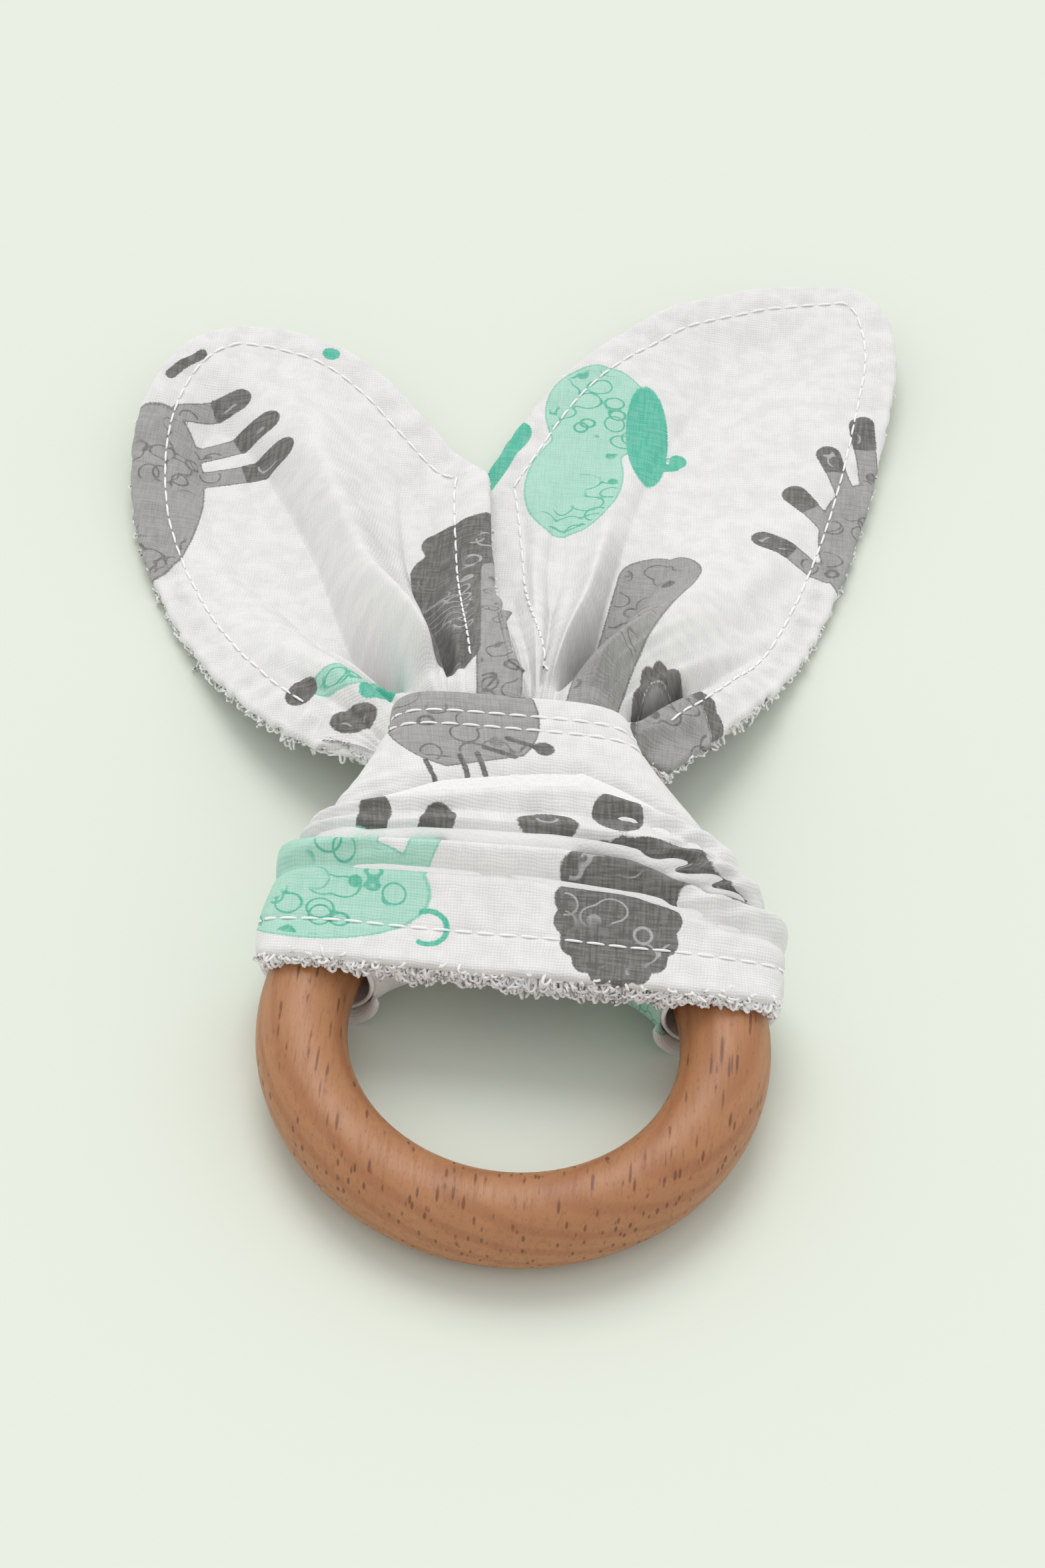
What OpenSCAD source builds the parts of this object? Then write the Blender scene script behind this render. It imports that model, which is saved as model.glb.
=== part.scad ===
// Teething ring: a turned beech ring with a two-layer cloth strip hitched on it.
// The strip has a cotton face and a terry backing. Its folded middle is a band in
// front of the ring, its ends wrap the rim and come up through the hole, and they
// leave the neck as two ears. Units are millimetres, with the origin at the ring's
// centre, +Z up and the ears towards +Y. The ring lies tilted, because its near
// side rests on the table and its far side rests on the cloth wrapped round it.

/* [Ring] */
// Outside diameter of the wooden ring
ring_od = 70; // [60:1:84]
// Radial width of the ring's section
ring_width = 12.4; // [10:0.2:15]
// Thickness of the ring along its axis
ring_thick = 12; // [10:0.2:14.6]

/* [Cloth] */
// Thickness of the cotton face
cotton_t = 0.5; // [0.3:0.1:0.8]
// Thickness of the terry backing where the hitch pulls it tight
terry_tight_t = 1.6; // [1.2:0.1:2]
// Thickness of the terry backing where it lies loose
terry_loose_t = 2.2; // [1.6:0.1:3]
// Clearance between the wood and the cloth round it
ring_gap = 0.25; // [0.2:0.05:0.4]

/* [Hitch] */
// Angle of the wraps' lower edge above the ring's widest line
wrap_low = 15; // [10:1:24]
// Angle at which the wraps end and the legs under the band start
wrap_high = 52; // [44:1:58]
// How far the band's lower edge dips towards the hole at its middle
band_dip = 4; // [1:0.5:6]
// Space between the ring's top and the band where the band crosses the hole
band_lift = 1; // [0.8:0.1:2.5]
// Height added to the band over the legs that pass under it
band_crown = 3.8; // [3.4:0.1:6]

/* [Neck] */
// Width of the neck, inside the band
neck_w = 31.4; // [26:0.2:37]
// Sideways place of the neck's middle
neck_x = -4.8; // [-6:0.2:6]
// Distance from the ring's outer edge to the neck's end
neck_run = 14.1; // [12:0.1:18]
// How far the band's left side swings out above the neck
left_shoulder = 0; // [0:0.5:6]
// How far the band's right side swings out above the neck
right_shoulder = 5; // [0:0.5:6]

/* [Ears] */
// Height of the ears' fold line above the ring's centre
fold_z = 7; // [6:0.5:8]
// Half the thickness of the gathered cloth at the fold line
fold_r = 5.5; // [4.5:0.1:6]
// Clearance between the ears and the neck's end
ear_gap = 0.4; // [0.3:0.1:0.8]
// Gap between the two ears' inner edges
split_gap = 0.4; // [0.3:0.1:1]
// Length of the left ear beyond the fold line
left_length = 93.4; // [75:0.2:112]
// Reach of the left ear to the side of the split
left_reach = 66.5; // [54:0.1:80]
// Length of the right ear beyond the fold line
right_length = 120; // [96:1:144]
// Reach of the right ear to the side of the split
right_reach = 58.9; // [48:0.1:71]
// Distance from the fold line to the notch between the ears
notch_run = 64.8; // [52:0.2:74]
// Sideways shift of the notch from the neck's middle
notch_shift = 9; // [4:0.5:12]
// Length over which the ears come down from the neck to the table
ear_slope = 45; // [40:1:54]
// How far the ears' tips rise off the table
tip_rise = 5; // [2:0.5:10]

/* [Stitches] */
// Diameter of the sewing thread
thread_d = 0.45; // [0.3:0.05:0.6]
// Distance from one stitch to the next
stitch_pitch = 3; // [2.4:0.1:4]
// Visible length of one stitch
stitch_length = 2.4; // [1.6:0.1:3]
// Distance of the topstitch from the strip's long edges
stitch_inset = 5; // [3:0.5:7]
// Distance of the topstitch from the band's edge at the neck
neck_stitch_inset = 3; // [2:0.5:4]
// Distance of the closing row beyond the topstitch at the neck
closing_offset = 2.6; // [2:0.1:4]

/* [Hidden] */

$fn = 64;
LEFT = -1;
RIGHT = 1;

// The ring's section is a circle stretched along its longer side
section_r = min(ring_width, ring_thick) / 2;
flat_x = ring_width / 2 - section_r;
flat_z = ring_thick / 2 - section_r;
centre_r = (ring_od - ring_width) / 2;

// Cloth layers round the ring
cloth_t = cotton_t + terry_tight_t;
wrap_out = ring_gap + cloth_t;

// The tilt that lays both the near rim and the wraps on the table
tilt = asin(wrap_out / (centre_r + (centre_r + flat_x) * sin(wrap_low)));
floor_z = -(centre_r + flat_x) * sin(tilt) - flat_z * cos(tilt) - section_r;

// Neck and fold line
neck_y = ring_od / 2 + neck_run;
fold_y = neck_y + fold_r + ear_gap;
band_inner_z = ring_thick / 2 + band_lift + ring_gap;

// The legs run beside each other with a slit between them
leg_start_gap = 0.5;
leg_start = wrap_high + leg_start_gap;
leg_end = 87;
leg_slit = 0.3;
leg_cotton_t = 2 * cotton_t;
leg_side_gap = 0.6;
neck_room = 1.8;
neck_fill = band_inner_z + band_crown - neck_room;

// Gathered cloth at the neck's side is thinner than at its middle
side_fill = 0.24;
side_fill_run = 0.45;

// Depth of the stitches in the cotton, as a share of the thread
stitch_sink = 0.1;
thread_lift = (0.5 - stitch_sink) * thread_d;
stitch_first = 0.1;

// Numbers of steps along and across the cloth
band_rows = 12;
band_steps = 30;
wrap_rows = 8;
wrap_step = 15;
leg_rows = 8;
ear_rows = 11;

function smooth(t) = let (c = max(0, min(1, t))) c * c * (3 - 2 * c);
function mix(a, b, t) = a + (b - a) * t;
function unit(v) = v / norm(v);

// Point of a cubic curve with four control points
function cubic(c, t) =
    c[0] * pow(1 - t, 3) + c[1] * 3 * t * pow(1 - t, 2)
    + c[2] * 3 * t * t * (1 - t) + c[3] * pow(t, 3);

// Offset of the ring's section at an angle: 0 is outward, 90 is up
function section(psi, off) = [
    sign(round(cos(psi) * 1000)) * flat_x + (section_r + off) * cos(psi),
    sign(round(sin(psi) * 1000)) * flat_z + (section_r + off) * sin(psi)
];

// Point round the ring, at an angle up from the ring's widest line on one side
function round_ring(side, a, psi, off) =
    let (s = section(psi, off), rho = centre_r + s[0])
    [side * rho * cos(a), rho * sin(a), s[1]];
function ring_normal(side, a, psi) = [side * cos(psi) * cos(a), cos(psi) * sin(a), sin(psi)];

// Side line of the band in plan, on the cloth's inner surface, from rim to neck
side_run = 15;
side_flare = 2.4;
function side_curve(side) =
    let (
        rim = round_ring(side, wrap_low, 0, ring_gap),
        neck = [neck_x + side * neck_w / 2, neck_y, 0],
        shoulder = side == LEFT ? left_shoulder : right_shoulder
    )
    [rim, rim + [side * side_flare, side_run, 0], neck + [side * shoulder, -side_run, 0], neck];
function side_point(side, t) = cubic(side_curve(side), t);
function side_normal(side, t) =
    let (
        e = 0.01,
        d = side_point(side, min(1, t + e)) - side_point(side, max(0, t - e))
    )
    unit([side * d[1], -side * d[0], 0]);

// Closed solid between two grids of points with the same rows and columns
module slab(low, high) {
    rows = len(low);
    cols = len(low[0]);
    count = rows * cols;
    points = [for (grid = [low, high]) for (row = grid) for (p = row) p];
    bottom = [
        for (i = [0:rows - 2]) for (j = [0:cols - 2])
            let (a = i * cols + j, b = a + 1, c = a + cols, d = c + 1)
            each [[a, b, d], [a, d, c]]
    ];
    top = [for (f = bottom) [f[0] + count, f[2] + count, f[1] + count]];
    rim = concat(
        [for (j = [0:cols - 1]) j],
        [for (i = [1:rows - 1]) i * cols + cols - 1],
        [for (j = [cols - 2:-1:0]) (rows - 1) * cols + j],
        [for (i = [rows - 2:-1:1]) i * cols]
    );
    n = len(rim);
    walls = [
        for (i = [0:n - 1])
            let (a = rim[i], b = rim[(i + 1) % n])
            each [[a, a + count, b], [b, a + count, b + count]]
    ];
    polyhedron(points, concat(bottom, top, walls));
}

// A slab on one side of the part: the left side's grids run the other way round
function backwards(grid) = [for (i = [len(grid) - 1:-1:0]) grid[i]];
module one_side(side, low, high) {
    if (side == LEFT) slab(backwards(low), backwards(high));
    else slab(low, high);
}

module in_ring_plane() {
    rotate([tilt, 0, 0]) children();
}

module wooden_ring() {
    color("burlywood")
    in_ring_plane()
    rotate_extrude($fn = 128)
    translate([centre_r, 0])
    ring_section();
}
module ring_section() {
    if (flat_x > 0) {
        for (sx = [-1, 1]) translate([sx * flat_x, 0]) circle(r = section_r);
        square([2 * flat_x, 2 * section_r], center = true);
    } else if (flat_z > 0) {
        for (sz = [-1, 1]) translate([0, sz * flat_z]) circle(r = section_r);
        square([2 * section_r, 2 * flat_z], center = true);
    } else circle(r = section_r);
}

// Band: a flattened arch from the left side line over the ring to the right one
arch_power = 0.4;
band_fall = 0.3;
function band_height(t) =
    band_inner_z + band_crown * smooth(2 * t) - band_fall * smooth(2 * t - 1);
function band_point(t, theta, off) =
    let (
        l = side_point(LEFT, t) + off * side_normal(LEFT, t),
        r = side_point(RIGHT, t) + off * side_normal(RIGHT, t),
        across = sign(cos(theta)) * pow(abs(cos(theta)), arch_power),
        up = pow(sin(theta), arch_power),
        k = (1 + across) / 2
    )
    mix(l, r, k) + [0, -band_dip * (1 - t) * up, (band_height(t) + off) * up];
function band_grid(off) = [
    for (i = [0:band_rows]) [
        for (j = [0:band_steps]) band_point(i / band_rows, 180 - j * 180 / band_steps, off)
    ]
];

module band_layer(inner, outer) {
    in_ring_plane() slab(band_grid(inner), band_grid(outer));
}
module band_cotton() color("whitesmoke") band_layer(terry_tight_t, cloth_t);
module band_terry() color("ivory") band_layer(0, terry_tight_t);

// Wraps: from the band's side line round the outside and the underside of the rim
wrap_end = -165;
wrap_fade = 70;
wrap_share = 0.62;
function wrap_point(side, k, psi, off) =
    let (
        a = mix(wrap_low, wrap_high, k),
        t = wrap_share * k,
        w = smooth(1 + psi / wrap_fade),
        stand_off = side_point(side, t) - round_ring(side, a, 0, ring_gap),
        n = unit(mix(ring_normal(side, a, psi), side_normal(side, t), w))
    )
    round_ring(side, a, psi, ring_gap) + w * stand_off + off * n;
function wrap_grid(side, off) = [
    for (i = [0:wrap_rows]) [
        for (psi = [0:-wrap_step:wrap_end]) wrap_point(side, i / wrap_rows, psi, off)
    ]
];

module wrap_layer(side, inner, outer) {
    in_ring_plane() one_side(side, wrap_grid(side, inner), wrap_grid(side, outer));
}
module left_wrap_cotton() color("whitesmoke") wrap_layer(LEFT, terry_tight_t, cloth_t);
module left_wrap_terry() color("ivory") wrap_layer(LEFT, 0, terry_tight_t);
module right_wrap_cotton() color("whitesmoke") wrap_layer(RIGHT, terry_tight_t, cloth_t);
module right_wrap_terry() color("ivory") wrap_layer(RIGHT, 0, terry_tight_t);

// Legs: up through the hole, over the far rim under the band, and on to the neck
leg_low_psi = 240;
leg_high_psi = 60;
leg_neck_steps = 5;
function leg_place(side, k, s) =
    let (
        a = mix(leg_start, leg_end, k),
        on_rim = round_ring(side, a, max(leg_high_psi, s), ring_gap),
        split_x = neck_x + side * leg_slit / 2,
        outer_x = neck_x + side * (neck_w / 2 - leg_side_gap),
        neck = [mix(outer_x, split_x, k), neck_y, 0],
        q = max(0, (leg_high_psi - s) / leg_high_psi)
    )
    mix(on_rim, neck, q);
function leg_up(side, k, s) =
    let (
        a = mix(leg_start, leg_end, k),
        q = max(0, (leg_high_psi - s) / leg_high_psi)
    )
    unit(mix(ring_normal(side, a, max(leg_high_psi, s)), [0, 0, 1], q));
function leg_thickness(k, s, rim_t, neck_t) =
    let (
        q = max(0, (leg_high_psi - s) / leg_high_psi),
        fill = mix(side_fill, 1, smooth(k / side_fill_run))
    )
    mix(rim_t, neck_t * fill, smooth(q));
leg_stations = concat(
    [for (psi = [leg_low_psi:-wrap_step:leg_high_psi]) psi],
    [for (i = [1:leg_neck_steps]) leg_high_psi * (1 - i / leg_neck_steps)]
);
function leg_grid(side, rim_t, neck_t) = [
    for (i = [0:leg_rows]) [
        for (s = leg_stations)
            leg_place(side, i / leg_rows, s)
            + leg_up(side, i / leg_rows, s) * leg_thickness(i / leg_rows, s, rim_t, neck_t)
    ]
];
leg_top_t = terry_tight_t + leg_cotton_t;

module leg_terry(side) {
    in_ring_plane() one_side(side, leg_grid(side, 0, 0), leg_grid(side, terry_tight_t, neck_fill / 2));
}
module leg_cotton(side) {
    in_ring_plane()
    one_side(side, leg_grid(side, terry_tight_t, neck_fill / 2), leg_grid(side, leg_top_t, neck_fill));
}
module left_leg_cotton() color("whitesmoke") leg_cotton(LEFT);
module left_leg_terry() color("ivory") leg_terry(LEFT);
module right_leg_cotton() color("whitesmoke") leg_cotton(RIGHT);
module right_leg_terry() color("ivory") leg_terry(RIGHT);

// Ears: each outline is a chain of curves, in shares of the ear's reach and length
left_shape = [
    [[0.55, -0.11], [0.91, 0.35], [0.966, 0.525]],
    [[1.086, 0.9], [0.86, 1], [0.786, 1]],
    [[0.42, 1], [0.36, 0.82]]
];
right_shape = [
    [[0.74, 0.16], [0.90, 0.41], [0.995, 0.81]],
    [[1.008, 0.86], [1, 1], [0.836, 1]],
    [[0.72, 1], [0.41, 0.956], [0.293, 0.904]],
    [[0.06, 0.794], [-0.016, 0.738]]
];
ear_corner = [6.5, -5.5];
root_spread = 2;

// The left ear's root stands back from the split, so the rounded ends pass each other
root_relief = 1.2;

function ear_reach(side) = side == LEFT ? left_reach : right_reach;
function ear_length(side) = side == LEFT ? left_length : right_length;
function ear_split(side) = neck_x + side * split_gap / 2 - (side == LEFT ? root_relief : 0);
function root_outer(side) = neck_x + side * (neck_w / 2 + root_spread);
function notch(side) = [neck_x + side * split_gap / 2 - notch_shift, fold_y + notch_run];

// Control points of every curve of the outline, from the outer corner to the notch
function ear_controls(side) =
    let (
        shape = side == LEFT ? left_shape : right_shape,
        scaled = [
            for (c = shape) [
                for (p = c) [
                    neck_x + side * p[0] * ear_reach(side),
                    fold_y + p[1] * ear_length(side)
                ]
            ]
        ],
        corner = [root_outer(side) + side * ear_corner[0], fold_y + ear_corner[1]],
        ends = concat([corner], [for (c = scaled) len(c) == 3 ? c[2] : notch(side)])
    )
    [for (i = [0:len(shape) - 1]) [ends[i], scaled[i][0], scaled[i][1], ends[i + 1]]];

curve_steps = 11;
split_steps = 3;
function ear_outline(side) =
    let (curves = ear_controls(side))
    concat(
        [for (i = [0:len(curves) - 1]) for (j = [0:curve_steps - 1]) cubic(curves[i], j / curve_steps)],
        [for (j = [0:split_steps - 1]) mix(notch(side), [ear_split(side), fold_y], j / split_steps)]
    );

// Height of the ear over a place in plan: it falls from the fold line to the table
ear_lie = 0.05;
rise_start = 0.55;
rise_share = 0.5;
function ear_distance(side, p) =
    let (
        a = min(root_outer(side), ear_split(side)),
        b = max(root_outer(side), ear_split(side))
    )
    norm([max(a - p[0], 0, p[0] - b), p[1] - fold_y]);
function ear_height(side, p, root_z, table_z) =
    let (
        d = ear_distance(side, p),
        length = ear_length(side),
        rise = tip_rise * smooth((d - rise_start * length) / (rise_share * length))
    )
    mix(root_z, floor_z + ear_lie + table_z, smooth(d / ear_slope)) + rise;

// Grid that fans from the fold line to the outline
function ear_grid(side, root_z, table_z) =
    let (outline = ear_outline(side), n = len(outline) - 1)
    [
        for (i = [0:n]) let (
            root = [mix(root_outer(side), ear_split(side), i / n), fold_y]
        ) [
            for (j = [0:ear_rows]) let (p = mix(root, outline[i], j / ear_rows))
                [p[0], p[1], ear_height(side, p, root_z, table_z)]
        ]
    ];

// Rounded end of the gathered cloth, about the fold line
nose_angles = [12, 35, 60];
function ear_nose(side, way) =
    let (n = len(ear_outline(side)) - 1)
    [
        for (i = [0:n]) [
            for (a = nose_angles) [
                mix(root_outer(side), ear_split(side), i / n),
                fold_y - fold_r * cos(a),
                fold_z + way * (fold_r - cotton_t) * sin(a)
            ]
        ]
    ];
function join_rows(a, b) = [for (i = [0:len(a) - 1]) concat(a[i], b[i])];

module ear_terry(side) {
    low = join_rows(ear_nose(side, -1), ear_grid(side, fold_z - fold_r + cotton_t, 0));
    high = join_rows(ear_nose(side, 1), ear_grid(side, fold_z + fold_r - cotton_t, terry_loose_t));
    one_side(side, low, high);
}
module ear_cotton(side) {
    low = ear_grid(side, fold_z + fold_r - cotton_t, terry_loose_t);
    high = ear_grid(side, fold_z + fold_r, terry_loose_t + cotton_t);
    one_side(side, low, high);
}
module left_ear_cotton() color("whitesmoke") ear_cotton(LEFT);
module left_ear_terry() color("ivory") ear_terry(LEFT);
module right_ear_cotton() color("whitesmoke") ear_cotton(RIGHT);
module right_ear_terry() color("ivory") ear_terry(RIGHT);

// Stitches: short lengths of thread at an even pitch along a line of points
function running_length(path) = [
    for (
        i = 0, s = 0;
        i < len(path);
        s = s + (i < len(path) - 1 ? norm(path[i + 1] - path[i]) : 0), i = i + 1
    ) s
];
function at_length(path, sums, s) =
    let (
        hits = [for (i = [0:len(path) - 2]) if (sums[i] <= s) i],
        i = hits[len(hits) - 1]
    )
    mix(path[i], path[i + 1], (s - sums[i]) / (sums[i + 1] - sums[i]));

module thread_length(a, b) {
    d = b - a;
    translate(a)
    rotate([0, acos(d[2] / norm(d)), atan2(d[1], d[0])])
    cylinder(h = norm(d), d = thread_d, $fn = 16);
}
module stitch_row(path) {
    sums = running_length(path);
    total = sums[len(sums) - 1];
    count = floor(total / stitch_pitch);
    for (i = [0:count - 1]) {
        start = (i + stitch_first) * stitch_pitch;
        thread_length(at_length(path, sums, start), at_length(path, sums, start + stitch_length));
    }
}

// Row across the band at a distance from its lower edge (t = 0) or the neck (t = 1)
band_run = neck_y - centre_r * sin(wrap_low);
row_margin = 24;
row_steps = 48;
function band_row(t) = [
    for (i = [0:row_steps])
        band_point(t, mix(180 - row_margin, row_margin, i / row_steps), cloth_t + thread_lift)
];
module band_topstitch() {
    color("white") in_ring_plane() {
        stitch_row(band_row(stitch_inset / band_run));
        stitch_row(band_row(1 - neck_stitch_inset / band_run));
    }
}
module closing_stitch() {
    color("white") in_ring_plane()
    stitch_row(band_row(1 - (neck_stitch_inset + closing_offset) / band_run));
}

// Row inside the ear's outline, on the cotton, from near the neck and back to it
stitch_row_start = 2;
function ear_row(side) =
    let (
        outline = ear_outline(side),
        n = len(outline) - 1,
        lift = cotton_t + terry_loose_t + thread_lift,
        top_z = fold_z + fold_r + thread_lift
    )
    [
        for (i = [1:n - 1]) let (
            along = unit(outline[i + 1] - outline[i - 1]),
            p = outline[i] + stitch_inset * side * [-along[1], along[0]]
        )
        if (p[1] > fold_y + stitch_row_start)
            [p[0], p[1], ear_height(side, p, top_z, lift)]
    ];
module left_ear_topstitch() color("white") stitch_row(ear_row(LEFT));
module right_ear_topstitch() color("white") stitch_row(ear_row(RIGHT));

wooden_ring();
band_cotton();
band_terry();
band_topstitch();
closing_stitch();
left_wrap_cotton();
left_wrap_terry();
right_wrap_cotton();
right_wrap_terry();
left_leg_cotton();
left_leg_terry();
right_leg_cotton();
right_leg_terry();
left_ear_cotton();
left_ear_terry();
left_ear_topstitch();
right_ear_cotton();
right_ear_terry();
right_ear_topstitch();
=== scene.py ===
"""Teething ring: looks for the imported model.

Lengths are in millimetres until a mesh is made, then metres.
"""
import math

import bpy
import numpy as np
from mathutils import Matrix, Vector
from mathutils.bvhtree import BVHTree


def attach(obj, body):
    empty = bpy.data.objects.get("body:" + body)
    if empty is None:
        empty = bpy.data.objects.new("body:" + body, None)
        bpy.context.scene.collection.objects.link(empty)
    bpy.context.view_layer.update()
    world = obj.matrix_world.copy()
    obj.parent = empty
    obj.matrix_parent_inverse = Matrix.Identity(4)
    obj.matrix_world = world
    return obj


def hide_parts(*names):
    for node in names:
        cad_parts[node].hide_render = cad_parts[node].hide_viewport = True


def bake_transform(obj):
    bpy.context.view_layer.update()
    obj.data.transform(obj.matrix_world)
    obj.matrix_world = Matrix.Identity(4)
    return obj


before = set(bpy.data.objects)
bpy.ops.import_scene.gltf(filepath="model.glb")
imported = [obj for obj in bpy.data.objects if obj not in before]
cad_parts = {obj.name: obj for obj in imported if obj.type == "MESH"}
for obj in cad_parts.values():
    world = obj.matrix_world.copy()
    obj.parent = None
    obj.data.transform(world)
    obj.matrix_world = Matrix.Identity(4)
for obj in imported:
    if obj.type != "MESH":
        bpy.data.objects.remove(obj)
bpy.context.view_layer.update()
MM = 0.001
LEFT, RIGHT = -1, 1
SIDES = {LEFT: "left", RIGHT: "right"}

# Shapes, in millimetres. The numbers down to FOLD_R repeat the CAD model's own.
RING_OD = 70.0
RING_WIDTH = 12.4
RING_THICK = 12.0
COTTON = 0.5
TERRY_TIGHT = 1.6
TERRY_LOOSE = 2.2
RING_GAP = 0.25
WRAP_LOW, WRAP_HIGH = 15.0, 52.0
BAND_DIP, BAND_LIFT, BAND_CROWN, BAND_FALL = 4.0, 1.0, 3.8, 0.3
NECK_W, NECK_X, NECK_RUN = 31.4, -4.8, 14.1
SHOULDER = {LEFT: 0.0, RIGHT: 5.0}
SIDE_RUN, SIDE_FLARE = 15.0, 2.4
ARCH_POWER = 0.4
WRAP_END, WRAP_FADE, WRAP_SHARE = -165.0, 70.0, 0.62
LEG_END, LEG_SLIT, LEG_SIDE_GAP = 87.0, 0.3, 0.6
FOLD_Z, FOLD_R, EAR_GAP = 7.0, 5.5, 0.4
SPLIT_GAP, ROOT_RELIEF, ROOT_SPREAD = 0.4, 1.2, 2.0
REACH = {LEFT: 66.5, RIGHT: 58.9}
LENGTH = {LEFT: 93.4, RIGHT: 120.0}
NOTCH_RUN, NOTCH_SHIFT = 64.8, 9.0
EAR_SLOPE, TIP_RISE, TIP_FROM, TIP_RUN = 45.0, 5.0, 0.55, 0.5
EAR_CORNER = (6.5, -5.5)
EAR_SHAPE = {
    LEFT: [
        [(0.55, -0.11), (0.91, 0.35), (0.966, 0.525)],
        [(1.086, 0.9), (0.86, 1), (0.786, 1)],
        [(0.42, 1), (0.36, 0.82)],
    ],
    RIGHT: [
        [(0.74, 0.16), (0.90, 0.41), (0.995, 0.81)],
        [(1.008, 0.86), (1, 1), (0.836, 1)],
        [(0.72, 1), (0.41, 0.956), (0.293, 0.904)],
        [(0.06, 0.794), (-0.016, 0.738)],
    ],
}
STITCH_PITCH, STITCH_LENGTH, STITCH_INSET, THREAD_D = 3.0, 2.4, 5.0, 0.45
NECK_STITCH_INSET, CLOSING_OFFSET = 3.0, 2.6

SECTION_R = min(RING_WIDTH, RING_THICK) / 2
FLAT_X = RING_WIDTH / 2 - SECTION_R
FLAT_Z = RING_THICK / 2 - SECTION_R
CENTRE_R = (RING_OD - RING_WIDTH) / 2
CLOTH = COTTON + TERRY_TIGHT
WRAP_OUT = RING_GAP + CLOTH
TILT = math.asin(WRAP_OUT / (CENTRE_R + (CENTRE_R + FLAT_X) * math.sin(math.radians(WRAP_LOW))))
FLOOR = -(CENTRE_R + FLAT_X) * math.sin(TILT) - FLAT_Z * math.cos(TILT) - SECTION_R
NECK_Y = RING_OD / 2 + NECK_RUN
FOLD_Y = NECK_Y + FOLD_R + EAR_GAP
BAND_INNER = RING_THICK / 2 + BAND_LIFT + RING_GAP


def smooth(t):
    c = np.clip(t, 0, 1)
    return c * c * (3 - 2 * c)


def mix(a, b, t):
    return a + (b - a) * t


def unit(v):
    return v / np.maximum(np.linalg.norm(v, axis=-1, keepdims=True), 1e-9)


def arc(path):
    """The distance along a path at each of its points."""
    return np.r_[0, np.cumsum(np.linalg.norm(np.diff(path, axis=0), axis=1))]


def cubic(c, t):
    c = [np.asarray(p, float) for p in c]
    t = np.asarray(t, float)[..., None]
    return (
        c[0] * (1 - t) ** 3 + c[1] * 3 * t * (1 - t) ** 2
        + c[2] * 3 * t * t * (1 - t) + c[3] * t**3
    )


def tilted(p):
    """From the ring's plane to the row frame."""
    c, s = math.cos(TILT), math.sin(TILT)
    return np.stack([p[..., 0], c * p[..., 1] - s * p[..., 2], s * p[..., 1] + c * p[..., 2]], -1)


def round_ring(side, a, psi, off):
    """A point round the ring's section: a is the angle along the ring, psi round its section."""
    a, psi = np.radians(a), np.radians(psi)
    x = np.sign(np.round(np.cos(psi), 3)) * FLAT_X + (SECTION_R + off) * np.cos(psi)
    z = np.sign(np.round(np.sin(psi), 3)) * FLAT_Z + (SECTION_R + off) * np.sin(psi)
    rho = CENTRE_R + x
    return np.stack(np.broadcast_arrays(side * rho * np.cos(a), rho * np.sin(a), z), -1)


def ring_normal(side, a, psi):
    a, psi = np.radians(a), np.radians(psi)
    n = (side * np.cos(psi) * np.cos(a), np.cos(psi) * np.sin(a), np.sin(psi) + 0 * a)
    return np.stack(np.broadcast_arrays(*n), -1)


def side_point(side, t):
    rim = round_ring(side, WRAP_LOW, 0.0, RING_GAP)
    neck = np.array([NECK_X + side * NECK_W / 2, NECK_Y, 0])
    leaves_rim = rim + [side * SIDE_FLARE, SIDE_RUN, 0]
    meets_neck = neck + [side * SHOULDER[side], -SIDE_RUN, 0]
    return cubic([rim, leaves_rim, meets_neck, neck], t)


def side_normal(side, t):
    e = 0.01
    d = side_point(side, np.minimum(1, t + e)) - side_point(side, np.maximum(0, t - e))
    return unit(np.stack([side * d[..., 1], -side * d[..., 0], 0 * d[..., 0]], -1))


def band_height(t):
    return BAND_INNER + BAND_CROWN * smooth(2 * t) - BAND_FALL * smooth(2 * t - 1)


def band_point(t, theta, off):
    """The band's arch in the ring's plane.

    t runs from its lower edge to the neck, theta from 180 degrees at the left to 0 at the right.
    """
    t, theta = np.broadcast_arrays(np.asarray(t, float), np.asarray(theta, float))
    th = np.radians(theta)
    left, right = (side_point(side, t) + off * side_normal(side, t) for side in (LEFT, RIGHT))
    c = np.where(np.abs(np.cos(th)) < 1e-9, 0, np.cos(th))
    across = np.sign(c) * np.abs(c) ** ARCH_POWER
    up = np.clip(np.sin(th), 0, 1) ** ARCH_POWER
    p = mix(left, right, ((1 + across) / 2)[..., None])
    p[..., 1] -= BAND_DIP * (1 - t) * up
    p[..., 2] += (band_height(t) + off) * up
    return p


ARCH_SAMPLES = 4001


def even_angles(n):
    """Angles that share the arch's length evenly, from 180 to 0 degrees."""
    th = 180 - 180 * smooth(np.linspace(0, 1, ARCH_SAMPLES))
    p = band_point(0.4, th, CLOTH)
    s = arc(p)
    return np.interp(np.linspace(0, s[-1], n + 1), s, th)


def wrap_point(side, k, psi, off):
    a = mix(WRAP_LOW, WRAP_HIGH, k)
    t = WRAP_SHARE * k
    w = smooth(1 + psi / WRAP_FADE)[..., None]
    stand = side_point(side, t) - round_ring(side, a, 0 * a, RING_GAP)
    n = unit(mix(ring_normal(side, a, psi), side_normal(side, t), w))
    return round_ring(side, a, psi, RING_GAP) + w * stand + off * n


def ear_split(side):
    return NECK_X + side * SPLIT_GAP / 2 - (ROOT_RELIEF if side < 0 else 0)


def root_outer(side):
    return NECK_X + side * (NECK_W / 2 + ROOT_SPREAD)


def notch(side):
    return (NECK_X + side * SPLIT_GAP / 2 - NOTCH_SHIFT, FOLD_Y + NOTCH_RUN)


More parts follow.
